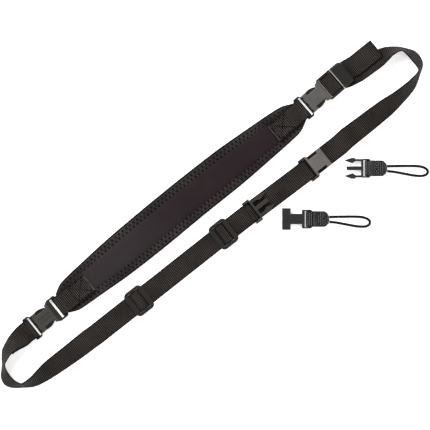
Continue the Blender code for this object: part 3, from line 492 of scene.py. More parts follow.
def over_low_bar(start, end):
    """Stations of webbing that climbs over a low end bar and drops through the slot behind it."""
    above = SLIDE_BAR_TALL + WEB_CLEAR
    line = [
        (start - 2 * SLIDE_RAMP, WEB_THICK / 2),
        (start - SLIDE_RAMP, WEB_THICK / 2),
        (start - WEB_CLEAR, above),
        (end + WEB_CLEAR, above),
        (end + WEB_CLEAR, WEB_THICK / 2),
        (end + SLIDE_RAMP, WEB_THICK / 2),
    ]
    return [flat_station(x, z) for x, z in rounded(line, WEB_CLEAR)]


def through_glide(x):
    """Stations of webbing that climbs over a slide's middle bar."""
    low = WEB_THICK / 2
    high = GLIDE_LOW + GLIDE_MIDDLE_TALL + WEB_CLEAR
    outer = GLIDE_WINDOW / 2 - WEB_CLEAR
    inner = GLIDE_MIDDLE / 2 + WEB_CLEAR
    line = [
        (-outer - SLIDE_RAMP, low),
        (-outer, low),
        (-inner, high),
        (inner, high),
        (outer, low),
        (outer + SLIDE_RAMP, low),
    ]
    return [flat_station(x + u, z) for u, z in rounded(line, WEB_CLEAR)]


def run_between(start, end):
    """Flat stations of the open run between two places."""
    count = max(1, math.ceil((end - start) / (4 * BEND_STEP)))
    return [flat_station(start + (end - start) * index / count, WEB_THICK / 2) for index in range(1, count)]


def front_stations():
    """Stations of the whole front run, from the lower bend to the upper one."""
    male_end = SLIDER_MALE_X - BASE_LENGTH - MALE_SLOT - MALE_BAR
    female_bar = SLIDE_FEMALE_BODY + SLIDE_FEMALE_SLOT
    female_end = SLIDER_FEMALE_X - female_bar - SLIDE_FEMALE_BAR
    groups = [through_glide(x) for _, x in GLIDE_PLACES]
    groups.append(over_low_bar(male_end, male_end + MALE_BAR))
    groups.append(over_low_bar(female_end, female_end + SLIDE_FEMALE_BAR))
    start = LOWER_CORNER + LOWER_BEND[-1][0] * WEB_WIDTH + RUN_MARGIN
    end = UPPER_CORNER - UPPER_BEND[0][0] * WEB_WIDTH - RUN_MARGIN
    stations = [flat_station(start, WEB_THICK / 2)]
    for group in groups:
        stations += run_between(stations[-1][0].x, group[0][0].x)
        stations += group
    stations += run_between(stations[-1][0].x, end)
    stations.append(flat_station(end, WEB_THICK / 2))
    return stations


def smooth_stations(keys, step):
    """Stations through key stations, filled in along smooth curves of centre and across direction."""
    centres = [key[0] for key in keys]
    out = []
    for index in range(len(keys) - 1):
        count = max(1, math.ceil((centres[index + 1] - centres[index]).length / step))
        for number in range(count):
            across = keys[index][1].lerp(keys[index + 1][1], number / count).normalized()
            out.append((smooth_between(centres, index, number / count), across, keys[index][2]))
    return out + [keys[-1]]


def lower_bend_stations():
    """Return layer, fold round the left buckle's bar, and the lower-left bend of the top layer."""
    frames = bend_frames(LOWER_CORNER, 1.0, LOWER_BEND)
    half = WEB_WIDTH / 2
    under = [frame for frame in frames if frame[4] > 0 and frame[3] >= RETURN_LEAD * WEB_WIDTH]
    stations = [(centre, across, half) for centre, across, _, _, _ in reversed(under)]
    low, high = frame_levels()
    slot_face = -SEAT_GAP - BASE_LENGTH - MALE_SLOT
    past = MALE_BAR + GAP
    fold = around_bar(low, high, MALE_BAR, (((past, low - WEB_CLEAR),), ((past, high + WEB_CLEAR),)))
    stations += local_stations(fold, LEFT_MOUTH, LEFT_YAW, slot_face, -1.0, half, -1.0)
    fading = 0.0
    for index, (centre, across, normal, lead, share) in enumerate(frames):
        if not (share > 0 and lead >= RETURN_LEAD * WEB_WIDTH):
            fading += (centre - frames[index - 1][0]).length
        shift = WEB_LAYER * max(1 - fading / RETURN_FADE, 0.0)
        stations.append((centre + normal * shift, across, half))
    return stations


def flank_height(frames, x, y):
    """Top level of the leaning webbing under a point, on the bend's straight side."""
    best = 0.0
    for here, there in zip(frames, frames[1:]):
        low, high = sorted((here[0].x, there[0].x))
        if not low - BEND_STEP <= x <= high + BEND_STEP:
            continue
        centre, across = here[:2]
        reach = (y - centre.y) / across.y
        level = centre.z + across.z * min(reach, WEB_WIDTH / 2) + WEB_THICK / 2
        best = max(best, level)
    return best


def upper_end_stations():
    """Upper bend, the ladder lock and the free tail."""
    bar_start, _, lift_end = ladder_places()
    frames = bend_frames(UPPER_CORNER, -1.0, UPPER_BEND)
    half = WEB_WIDTH / 2
    stations = [(centre, across, half) for centre, across, _, _, _ in frames]
    load = LOAD_LEVEL + WEB_THICK / 2
    bar_end = bar_start + LADDER_BAR
    over = LADDER_BAR_LOW + LADDER_BAR_TALL + WEB_CLEAR
    tail = LOAD_LEVEL + WEB_THICK + WEB_CLEAR
    line = [
        (bar_end, load),
        (bar_start - WEB_CLEAR, load),
        (bar_start - WEB_CLEAR, over),
        (bar_end + WEB_CLEAR, over),
        (bar_end + WEB_CLEAR, tail),
        (lift_end, tail),
    ]
    line = rounded(line, WEB_CLEAR)
    back = Matrix.Rotation(RIGHT_YAW, 3, "Z") @ Vector((0.0, -1.0, 0.0))
    load_middle = Vector((UPPER_CORNER - LOAD_LEAD * WEB_WIDTH, PAD_SIDE + LOAD_SHIFT, load))
    stations.append((load_middle, stations[-1][1].lerp(back, 0.5).normalized(), half))
    stations += [(from_local(RIGHT_MOUTH, RIGHT_YAW, u, 0.0, z), back, half) for u, z in line]
    flank = [frame for frame in frames if frame[4] > 0]
    count = len(TAIL_LINE)
    for index, (lead, off) in enumerate(TAIL_LINE):
        x = UPPER_CORNER - lead * WEB_WIDTH
        y = PAD_SIDE + off * WEB_WIDTH
        lean = TAIL_LEAN * (index + 1) / count
        across = Vector((0.0, -math.cos(lean), math.sin(lean)))
        level = flank_height(flank, x, y - half) + WEB_CLEAR - half * math.sin(lean)
        stations.append((Vector((x, y, max(level, tail))), across, half))
    return stations


def webbing_keys():
    """Stations of the one long webbing from its sewn end to its free tail."""
    stations = lower_bend_stations()
    stations += front_stations()
    stations += upper_end_stations()
    return stations


def connector_tab_stations(place, yaw, slot_face, direction, depth):
    """Stations of a tab folded round a connector's bar, both layers sewn flat, with rounded ends."""
    high = frame_levels()[1]
    start = depth + CONNECTOR_TAB_RAMP
    reach = depth + CONNECTOR_TAB
    half = CONNECTOR_TAB_WIDTH / 2
    upper = WEB_LAYER + WEB_THICK / 2
    round_start = reach - half * TAB_ROUND
    below = [(round_start, WEB_THICK / 2), (start, WEB_THICK / 2)]
    above = [(start, upper), (round_start, upper)]
    line = around_bar(WEB_LAYER, high, depth, (below, above))
    stations = local_stations(line, place, yaw, slot_face, direction, half)
    across = stations[0][1]
    ends = []
    for level in (WEB_THICK / 2, upper):
        end = []
        for index in range(1, TAB_ROUND_STEPS + 1):
            turn = math.pi / 2 * index / TAB_ROUND_STEPS
            u = reach - half * TAB_ROUND * (1 - math.sin(turn))
            centre = from_local(place, yaw, slot_face + direction * u, 0.0, level)
            end.append((centre, across, half * max(math.cos(turn), TAB_END_SHARE)))
        ends.append(end)
    return ends[0][::-1] + stations + ends[1]


def cord_points(start, direction, side):
    """Points of a cord loop in its connector's own frame."""
    level = CORD_RADIUS + GAP
    keys = [(start + direction * (GAP + u * CORD_REACH), side * v * CORD_REACH, level) for u, v in CORD_LINE]
    return smooth_line(keys, CORD_REACH / CORD_POINTS * 2)


def pad_tab_pairs():
    """Side and stations of each tab on the pad."""
    left_bar = BODY_LENGTH + SHOULDER_LENGTH + FRAME_LEAD + FEMALE_SLOT
    right_face = -SEAT_GAP - BASE_LENGTH - MALE_SLOT
    left = pad_tab_stations(LEFT_MOUTH, LEFT_YAW, left_bar, 1.0, FEMALE_BAR, PAD_START + TAB_REACH)
    right = pad_tab_stations(RIGHT_MOUTH, RIGHT_YAW, right_face, -1.0, MALE_BAR, PAD_END - TAB_REACH)
    return ("left", left), ("right", right)


def connector_facts():
    """Kind, place, turn, slot face, direction, bar depth, cord start and cord side of each connector."""
    female_face = CONNECTOR_SLOT_START + CONNECTOR_SLOT
    male_face = -BASE_LENGTH - MALE_SLOT
    female_cord = female_face + CONNECTOR_BAR + CONNECTOR_TAB
    male_cord = male_face - MALE_BAR - CONNECTOR_TAB
    male_turn = CONNECTOR_TURN + math.pi
    return (
        ("female", CONNECTOR_FEMALE_AT, CONNECTOR_TURN, female_face, 1.0, CONNECTOR_BAR, female_cord, -1.0),
        ("male", CONNECTOR_MALE_AT, male_turn, male_face, -1.0, MALE_BAR, male_cord, 1.0),
    )


# Where the strap's own lines lie in the frame: the female slider ties the two together
SLIDER_LOW, SLIDER_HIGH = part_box("slider_female")
SHIFT = Vector((
    SLIDER_HIGH[0] - SLIDER_FEMALE_X,
    (SLIDER_LOW[1] + SLIDER_HIGH[1]) / 2 - run_y(SLIDER_FEMALE_X - SLIDE_FEMALE_BODY),
    SLIDER_LOW[2],
))

# The woven edge stands a little proud of the solid's
WEAVE_SPREAD = 1.022

# Where the pad's cloth turns from the painted sheen at its left end to its own colour
SHEEN_START = -0.110
SHEEN_END = -0.020

# Lower half of a tape's section: share of its width, share of its thickness. The upper half mirrors it
LOWER_PROFILE = (
    (-0.500, -0.20),
    (-0.492, -0.42),
    (-0.470, -0.50),
    (-0.25, -0.50),
    (0.0, -0.50),
    (0.25, -0.50),
    (0.470, -0.50),
    (0.492, -0.42),
    (0.500, -0.20),
)
WEB_PROFILE = LOWER_PROFILE + tuple((-across, -level) for across, level in LOWER_PROFILE)


# Thread: share of a stitch's length and share of its radius, and sides of its round section
THREAD_SHAPE = (
    (0.0, 0.35),
    (0.15, 1.0),
    (0.85, 1.0),
    (1.0, 0.35),
)
THREAD_SIDES = 6
HOLE_SIDES = 8
UP = Vector((0.0, 0.0, 1.0))

# How far a stitch's middle lies over its cloth, and each thread's radius
STITCH_LIFT = 0.08 * MM
HEM_THREAD = 0.28 * MM
BORDER_THREAD = 0.30 * MM
EDGE_THREAD = 0.30 * MM
DOT_THREAD = 0.42 * MM
BOX_THREAD = 0.50 * MM

# Needle holes of the border: size, and the outer row's distance inside the edge
NEEDLE_HOLE = 1.2 * MM
NEEDLE_TALL = 0.18 * MM
NEEDLE_SUNK = 0.05 * MM
OUTER_ROW = 4.8 * MM
INNER_ROW_SHARE = 0.90
ZIGZAG_LIFT = 0.12 * MM

# Pad cover: columns along it, and rows of points by their distance from its edge in millimetres
PAD_COLUMNS = 150
EDGE_ROWS = (0.0, 0.25, 0.7, 1.15)
BORDER_ROWS = (2.8, 4.2, 6.0, 8.0)
CROWN_ROWS = (0.7, 1.6, 2.8, 4.5, 7.0, 10.0, 14.0)
SEAM_WIDTH = 0.6
CROWN_REACH = CROWN_ROWS[-1] * MM
PAD_RIPPLE = 0.12 * MM
PAD_TUCK = 0.5 * MM

# Stitched box on a pad's tab, and the hem lines of the free tail, by distance from the webbing's end
BOX_START = 3.5 * MM
BOX_END = 26.0 * MM
HEM_BACKS = (2.0 * MM, 5.0 * MM)

# Dots on a connector's tab: how many each way, and their steps
DOT_ROWS = 5
DOT_START = 1.5 * MM
DOT_STEP = 3.0 * MM
DOT_APART = 3.2 * MM

# Raised ribs on the female bodies
RIB_WIDTH = 1.1 * MM
RIB_SUNK = 0.2 * MM
RIB_RISE = 0.35 * MM


# Settings shown in the sidebar

def length_setting(name, description, default):
    """Setting that holds a length."""
    return bpy.props.FloatProperty(name=name, description=description, default=default, unit="LENGTH")


def colour_setting(name, description, default):
    """Setting that holds a colour."""
    return bpy.props.FloatVectorProperty(name=name, description=description, default=default, subtype="COLOR")


def strength_setting(name, description, default):
    """Setting that holds a light's strength."""
    return bpy.props.FloatProperty(name=name, description=description, default=default, min=0.0)


class StrapWebbing(bpy.types.PropertyGroup):
    """Webbing and tabs."""

    rib: length_setting("Rib Pitch", "Distance from one cross rib to the next", 2.2 * MM)
    colour: colour_setting("Webbing Colour", "Main colour of the webbing", (0.0070, 0.0056, 0.0048))
    tab: colour_setting("Connector Tab Colour", "Colour of the knots on the loose tabs", (0.190, 0.190, 0.196))
    # Rib colour is a painted highlight: the lighter tone on the rib tops stands in for light caught there
    light: colour_setting("Rib Highlight Colour", "Colour on top of the ribs", (0.080, 0.066, 0.058))


class StrapPad(bpy.types.PropertyGroup):
    """Padded section."""

    border: length_setting("Border Width", "Width of the stitched border", 11.0 * MM)
    binding: length_setting("Edge Width", "Width of the black edge outside the border", 2.2 * MM)
    stitch: length_setting("Stitch Pitch", "Distance between needle holes in a row", 5.8 * MM)
    colour: colour_setting("Pad Colour", "Colour of the smooth middle", (0.0132, 0.0082, 0.0094))
    # Painted sheen: a lighter, greyer tone towards the pad's left end stands in for light on the cloth there
    sheen_tone: colour_setting("Painted Sheen Colour", "Colour towards the pad's left end", (0.0205, 0.0165, 0.0178))
    border_colour: colour_setting("Border Colour", "Colour of the border cloth", (0.0200, 0.0165, 0.0160))


class StrapPlastic(bpy.types.PropertyGroup):
    """Moulded parts."""

    edge: length_setting("Edge Radius", "Rounding of moulded edges", 0.35 * MM)
    left: colour_setting("Left Buckle Colour", "Colour of the left buckle", (0.0275, 0.0250, 0.0205))
    right: colour_setting("Right Buckle Colour", "Colour of the right buckle", (0.059, 0.054, 0.051))
    slider: colour_setting("Open Socket Colour", "Colour of the open female half", (0.079, 0.073, 0.068))
    male: colour_setting("Open Prong Colour", "Colour of the open male half", (0.022, 0.0195, 0.017))
    dark: colour_setting("Slide Colour", "Colour of slides and the lift tab", (0.0036, 0.0029, 0.0022))
    loose: colour_setting("Connector Colour", "Colour of the loose connectors", (0.0090, 0.0088, 0.0088))


class StrapStage(bpy.types.PropertyGroup):
    """Floor, lights and camera."""

    height: length_setting("Camera Height", "Height of the camera over the table", 5.0)
    roll: bpy.props.FloatProperty(
        name="Camera Roll",
        description="Turn of the picture over the strap",
        default=math.radians(38.0),
        subtype="ANGLE",
    )
    span: length_setting("Picture Width", "Width of table that the picture takes in", 0.5328)
    sun: strength_setting("Key Light", "Power of the main soft light in watts", 50.0)
    sky: strength_setting("Fill Light", "Strength of the light all round", 1.5)
    glow: strength_setting("Floor Glow", "Light that the floor gives by itself", 0.5)


# Materials

class Recipe:
    """A material's nodes, put in place and joined by name."""

    def __init__(self, name, roughness=0.6, specular=0.4):
        self.material = bpy.data.materials.new(name)
        self.material.use_nodes = True
        self.tree = self.material.node_tree
        self.shader = self.tree.nodes["Principled BSDF"]
        self.shader.inputs["Roughness"].default_value = roughness
        self.shader.inputs["Specular IOR Level"].default_value = specular

    def add(self, kind, inputs=(), **settings):
        """New node with settings, and values or links on its inputs by name or number."""
        node = self.tree.nodes.new("ShaderNode" + kind)
        for key, value in settings.items():
            setattr(node, key, value)
        for key, value in dict(inputs).items():
            if isinstance(value, bpy.types.NodeSocket):
                self.tree.links.new(value, node.inputs[key])
            else:
                node.inputs[key].default_value = value
        return node

    def math(self, operation, first, second=0.0, third=0.0):
        """Output of one arithmetic node."""
        return self.add("Math", {0: first, 1: second, 2: third}, operation=operation).outputs[0]

    def ramp(self, value, stops):
        """Colour ramp over a value: (place, colour) pairs."""
        node = self.add("ValToRGB", {"Fac": value})
        elements = node.color_ramp.elements
        while len(elements) < len(stops):
            elements.new(0.5)
        for element, (place, colour) in zip(elements, stops):
            element.position = place
            element.color = (*colour, 1.0)
        return node.outputs["Color"]

    def mix(self, share, first, tone):
        """Colour that goes from one to a plain tone with a share."""
        return self.add("MixRGB", {"Fac": share, "Color1": first, "Color2": (*tone, 1.0)}).outputs[0]

    def bump(self, height, strength, distance, under=None):
        """Bump from a height, over an earlier one when given."""
        node = self.add("Bump", {"Height": height, "Strength": strength, "Distance": distance})
        if under is not None:
            self.tree.links.new(under, node.inputs["Normal"])
        return node.outputs["Normal"]

    def surface(self, colour=None, normal=None, roughness=None):
        """Join the finished colour, normal and roughness to the shader."""
        for socket, value in (("Base Color", colour), ("Normal", normal), ("Roughness", roughness)):
            if value is not None:
                self.tree.links.new(value, self.shader.inputs[socket])
        return self.material


def webbing_finish(name, sizes, shade=1.0, width=WEB_WIDTH, tone=None, knots=0.65):
    """Woven tape: cross ribs that break into a row of small knots, with painted shade between the ribs, a
    painted highlight on their tops, and darker bands along both edges.
    """
    made = Recipe(name, roughness=0.75, specular=0.08)
    uv = made.add("UVMap", uv_map="Weave")
    parts = made.add("SeparateXYZ", {0: uv.outputs["UV"]})
    along, across = parts.outputs["X"], parts.outputs["Y"]
    wobble = made.add("TexNoise", {"Vector": uv.outputs["UV"], "Scale": 260.0, "Detail": 2.0})
    push = made.math("MULTIPLY", made.math("SUBTRACT", wobble.outputs["Fac"], 0.5), 0.9)
    rib_phase = made.math("ADD", made.math("MULTIPLY", along, 2 * math.pi / sizes.rib), push)
    rib = made.math("MULTIPLY_ADD", made.math("SINE", rib_phase), 0.5, 0.5)
    knot_phase = made.math("ADD", made.math("MULTIPLY", across, 2 * math.pi / (sizes.rib * 0.82)), push)
    row_turn = made.math("MULTIPLY", made.math("FLOOR", made.math("DIVIDE", along, sizes.rib)), math.pi)
    knot = made.math("MULTIPLY_ADD", made.math("SINE", made.math("ADD", knot_phase, row_turn)), 0.5, 0.5)
    height = made.math("MULTIPLY", rib, made.math("MULTIPLY_ADD", knot, knots, 1.0 - knots))
    patch = made.add("TexNoise", {"Vector": uv.outputs["UV"], "Scale": 34.0, "Detail": 3.0})
    lift = made.math("MULTIPLY_ADD", patch.outputs["Fac"], 0.9, 0.55)
    # Darker bands along both edges of the tape
    edge_band = made.math("GREATER_THAN", made.math("ABSOLUTE", across), width * 0.45)
    keep = made.math("MULTIPLY_ADD", edge_band, -0.92, 1.0)
    value = made.math("MULTIPLY", made.math("MULTIPLY", height, lift), keep)
    dark = tuple(c * shade for c in sizes.colour)
    # The light tone on the rib tops is a painted highlight and the near-black at the ramp's low end is painted
    # shade in the hollows; a given tone takes the tops' place
    light = tuple(tone or (c * shade for c in sizes.light))
    colour = made.ramp(value, ((0.08, tuple(c * 0.2 for c in dark)), (0.42, dark), (0.90, light)))
    fine = made.add("TexNoise", {"Vector": uv.outputs["UV"], "Scale": 2600.0, "Detail": 2.0})
    normal = made.bump(fine.outputs["Fac"], 0.25, 0.1 * MM)
    normal = made.bump(height, 0.9, 0.35 * MM, normal)
    return made.surface(colour, normal)


def cloth_finish(name, colour, grain, roughness, speckle, sheen, sheen_tone=None):
    """Close cloth over foam: fine grain, faint mottling and a soft sheen, with a painted sheen blended in
    towards the pad's left end where a sheen tone is given.
    """
    made = Recipe(name, roughness=roughness, specular=0.08)
    made.shader.inputs["Sheen Weight"].default_value = sheen
    made.shader.inputs["Sheen Roughness"].default_value = 0.5
    place = made.add("TexCoord").outputs["Object"]
    cloud = made.add("TexNoise", {"Vector": place, "Scale": 22.0, "Detail": 4.0, "Roughness": 0.6})
    fleck = made.add("TexNoise", {"Vector": place, "Scale": grain, "Detail": 3.0, "Roughness": 0.7})
    halves = [made.math("MULTIPLY", noise.outputs["Fac"], 0.5) for noise in (cloud, fleck)]
    both = made.math("ADD", *halves)
    dim = tuple(c * (1 - speckle) for c in colour)
    lit = tuple(c * (1 + speckle * 1.4) for c in colour)
    shade = made.ramp(both, ((0.36, dim), (0.50, colour), (0.64, lit)))
    # Painted sheen: blend towards a lighter, greyer tone at the pad's left end, standing in for light on the
    # cloth
    if sheen_tone:
        across = made.add("SeparateXYZ", {0: place}).outputs["X"]
        reach = {"From Min": SHEEN_START, "From Max": SHEEN_END, "To Min": 0.9, "To Max": 0.0}
        near = made.add("MapRange", {"Value": across, **reach})
        shade = made.mix(near.outputs[0], shade, sheen_tone)
    weave = made.add("TexVoronoi", {"Vector": place, "Scale": grain * 1.5})
    normal = made.bump(weave.outputs["Distance"], 0.35, 0.15 * MM)
    normal = made.bump(cloud.outputs["Fac"], 0.15, 0.8 * MM, normal)
    return made.surface(shade, normal)


def plastic_finish(name, colour, edge, roughness=0.42, wear=0.35, tone_and_highlight_bands=()):
    """Moulded plastic: soft edges, fine grain and rubbed corners, with bands along a piece that give it second
    colours and, on the right buckle, a thin painted highlight line.
    """
    made = Recipe(name, roughness=roughness, specular=0.28)
    place = made.add("TexCoord").outputs["Object"]
    cloud = made.add("TexNoise", {"Vector": place, "Scale": 60.0, "Detail": 4.0})
    grain = made.add("TexNoise", {"Vector": place, "Scale": 2400.0, "Detail": 2.0})
    dim = tuple(c * 0.86 for c in colour)
    lit = tuple(c * 1.16 for c in colour)
    shade = made.ramp(cloud.outputs["Fac"], ((0.3, dim), (0.7, lit)))
    soft = made.add("Bevel", {"Radius": edge}, samples=6)
    corner = made.add("NewGeometry")
    normals = {0: soft.outputs["Normal"], 1: corner.outputs["Normal"]}
    facing = made.add("VectorMath", normals, operation="DOT_PRODUCT")
    rubbed = made.math("MULTIPLY", made.math("SUBTRACT", 1.0, facing.outputs["Value"]), wear * 6)
    rubbed = made.add("Clamp", {"Value": rubbed}).outputs[0]
    worn = tuple(min(c * 2.2 + 0.03, 1.0) for c in colour)
    for mouth, yaw, start, end, tone in tone_and_highlight_bands:
        origin = (mouth[0] + SHIFT.x, mouth[1] + SHIFT.y, 0.0)
        local = made.add("VectorMath", {0: corner.outputs["Position"], 1: origin}, operation="SUBTRACT")
        ahead = (math.cos(yaw), math.sin(yaw), 0.0)
        reach = made.add("VectorMath", {0: local.outputs[0], 1: ahead}, operation="DOT_PRODUCT")
        reach = reach.outputs["Value"]
        past = made.math("GREATER_THAN", reach, start)
        before = made.math("LESS_THAN", reach, end)
        inside = made.math("MULTIPLY", past, before)
        shade = made.mix(inside, shade, tone)
    colour_out = made.mix(rubbed, shade, worn)
    rough = made.math("MULTIPLY_ADD", grain.outputs["Fac"], 0.18, roughness - 0.09)
    normal = made.bump(grain.outputs["Fac"], 0.12, 0.08 * MM, soft.outputs["Normal"])
    return made.surface(colour_out, normal, rough)


def thread_finish(name, colour, roughness=0.7):
    """Twisted sewing thread."""
    made = Recipe(name, roughness=roughness, specular=0.05)
    place = made.add("TexCoord").outputs["Object"]
    twist = made.add("TexNoise", {"Vector": place, "Scale": 1800.0, "Detail": 2.0})
    dim = tuple(c * 0.6 for c in colour)
    lit = tuple(c * 1.3 for c in colour)
    shade = made.ramp(twist.outputs["Fac"], ((0.35, dim), (0.65, lit)))
    return made.surface(shade, made.bump(twist.outputs["Fac"], 0.4, 0.1 * MM))


def cord_finish(name):
    """Braided cord: two sets of strands that cross at a slant."""
    made = Recipe(name, roughness=0.75, specular=0.05)
    uv = made.add("UVMap", uv_map="Weave")
    parts = made.add("SeparateXYZ", {0: uv.outputs["UV"]})
    run = made.math("MULTIPLY", parts.outputs["X"], 2 * math.pi / (2.4 * MM))
    turn = made.math("MULTIPLY", parts.outputs["Y"], 2 * math.pi * 4)
    one = made.math("SINE", made.math("ADD", run, turn))
    other = made.math("SINE", made.math("SUBTRACT", run, turn))
    strand = made.math("MULTIPLY_ADD", made.math("MAXIMUM", one, other), 0.5, 0.5)
    shade = made.ramp(strand, ((0.2, (0.002, 0.002, 0.002)), (0.9, (0.009, 0.009, 0.009))))
    return made.surface(shade, made.bump(strand, 0.8, 0.3 * MM))


# Meshes

def new_piece(name, bm, materials):
    """Object from a bmesh, smooth, with its materials, riding on the strap."""
    mesh = bpy.data.meshes.new(name)
    bm.to_mesh(mesh)
    bm.free()
    for polygon in mesh.polygons:
        polygon.use_smooth = True
    piece = bpy.data.objects.new(name, mesh)
    bpy.context.scene.collection.objects.link(piece)
    for material in materials:
        mesh.materials.append(material)
    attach(piece, "root")
    return piece


def skin(bm, rings, weave=None, place=None):
    """Faces from each ring of points to the next and over both ends, with a weave map where one is given."""
    count = len(rings[0])
    for index, (lower, upper) in enumerate(zip(rings, rings[1:])):
        for number in range(count):
            after = (number + 1) % count
            face = bm.faces.new((lower[number], lower[after], upper[after], upper[number]))
            if weave:
                corners = ((index, number), (index, number + 1), (index + 1, number + 1), (index + 1, number))
                for loop, corner in zip(face.loops, corners):
                    loop[weave].uv = place(*corner)
    bm.faces.new(rings[0][::-1])
    return bm.faces.new(rings[-1])


def circle(bm, centre, out, up, sides):
    """Ring of points round a centre."""
    turns = [2 * math.pi * number / sides for number in range(sides)]
    return [bm.verts.new(centre + out * math.cos(turn) + up * math.sin(turn)) for turn in turns]


def tape(name, stations, material):
    """Woven tape with round selvedges through stations of centre, across and half width, with a weave map."""
    bm = bmesh.new()
    weave = bm.loops.layers.uv.new("Weave")
    last = len(stations) - 1
    rings = []
    runs = [0.0]
    for index, (centre, across, half) in enumerate(stations):
        along = stations[min(index + 1, last)][0] - stations[max(index - 1, 0)][0]
        normal = along.cross(across).normalized()
        if index:
            runs.append(runs[-1] + (centre - stations[index - 1][0]).length)
        ring = []
        for a, n in WEB_PROFILE:
            point = centre + SHIFT + across * a * 2 * half * WEAVE_SPREAD + normal * n * WEB_THICK
            point.z = max(point.z, 0.0)
            ring.append(bm.verts.new(point))
        rings.append(ring)

    def weave_place(station, number):
        return runs[station], WEB_PROFILE[number % len(WEB_PROFILE)][0] * 2 * stations[station][2]

    for loop in skin(bm, rings, weave, weave_place).loops:
        loop[weave].uv = (runs[-1], 0.0)
    bmesh.ops.recalc_face_normals(bm, faces=bm.faces)
    return new_piece(name, bm, [material])


def stitch_line(points, pitch, fill):
    """Short strokes of thread along a line of points: start and end of each."""
    strokes = []
    carry = 0.0
    for here, there in zip(points, points[1:]):
        span = (there - here).length
        way = (there - here) / span
        place = carry
        while place + pitch * fill <= span:
            strokes.append((here + way * place, here + way * (place + pitch * fill)))
            place += pitch
        carry = max(place - span, 0.0)
    return strokes


def threads(name, strokes, radius, material):
    """One mesh of small round-backed stitches, thinner at both ends, along pairs of points."""
    bm = bmesh.new()
    for start, end in strokes:
        way = (end - start).normalized()
        side = way.cross(UP)
        side = side.normalized() if side.length > TINY else Vector((1.0, 0.0, 0.0))
        up = side.cross(way)
        rings = []
        for share, size in THREAD_SHAPE:
            centre = start.lerp(end, share)
            rings.append(circle(bm, centre, side * radius * size, up * radius * size, THREAD_SIDES))
        skin(bm, rings)
    bmesh.ops.recalc_face_normals(bm, faces=bm.faces)
    return new_piece(name, bm, [material])


def discs(name, places, radius, tall, material):
    """One mesh of small low cones: needle holes, whose near-black colour is painted shade."""
    bm = bmesh.new()
    for centre in places:
        top = bm.verts.new(centre + UP * tall)
        ring = circle(bm, centre, Vector((radius, 0.0, 0.0)), Vector((0.0, radius, 0.0)), HOLE_SIDES)
        for number in range(HOLE_SIDES):
            bm.faces.new((ring[number], ring[(number + 1) % HOLE_SIDES], top))
        bm.faces.new(ring[::-1])
    return new_piece(name, bm, [material])


# Pad

def pad_edges(x):
    """Centre line and half width of the pad at a place along it."""
    width, middle = blend(PAD_OUTLINE, (x - PAD_START) / PAD_LENGTH)
    return PAD_MIDDLE + middle * PAD_WIDTH, width * PAD_WIDTH / 2


def pad_level(x, off, border):
    """Top of the pad at a distance inside its edge: thin edge, flat border, seam, and the full middle."""
    low, thick = pad_lift(x), pad_thickness(x)
    half = pad_edges(x)[1]
    border = min(border, half * 0.55)
    rows = (
        (0.0, 0.34),
        (0.7 * MM, 0.50),
        (border * 0.30, 0.58),
        (border * 0.85, 0.62),
        (border, 0.60),
        (border + 2.5 * MM, 0.84),
        (border + 7.0 * MM, 0.97),
        (border + CROWN_REACH, 1.0),
    )
    return low + thick * blend(rows, off)[0]


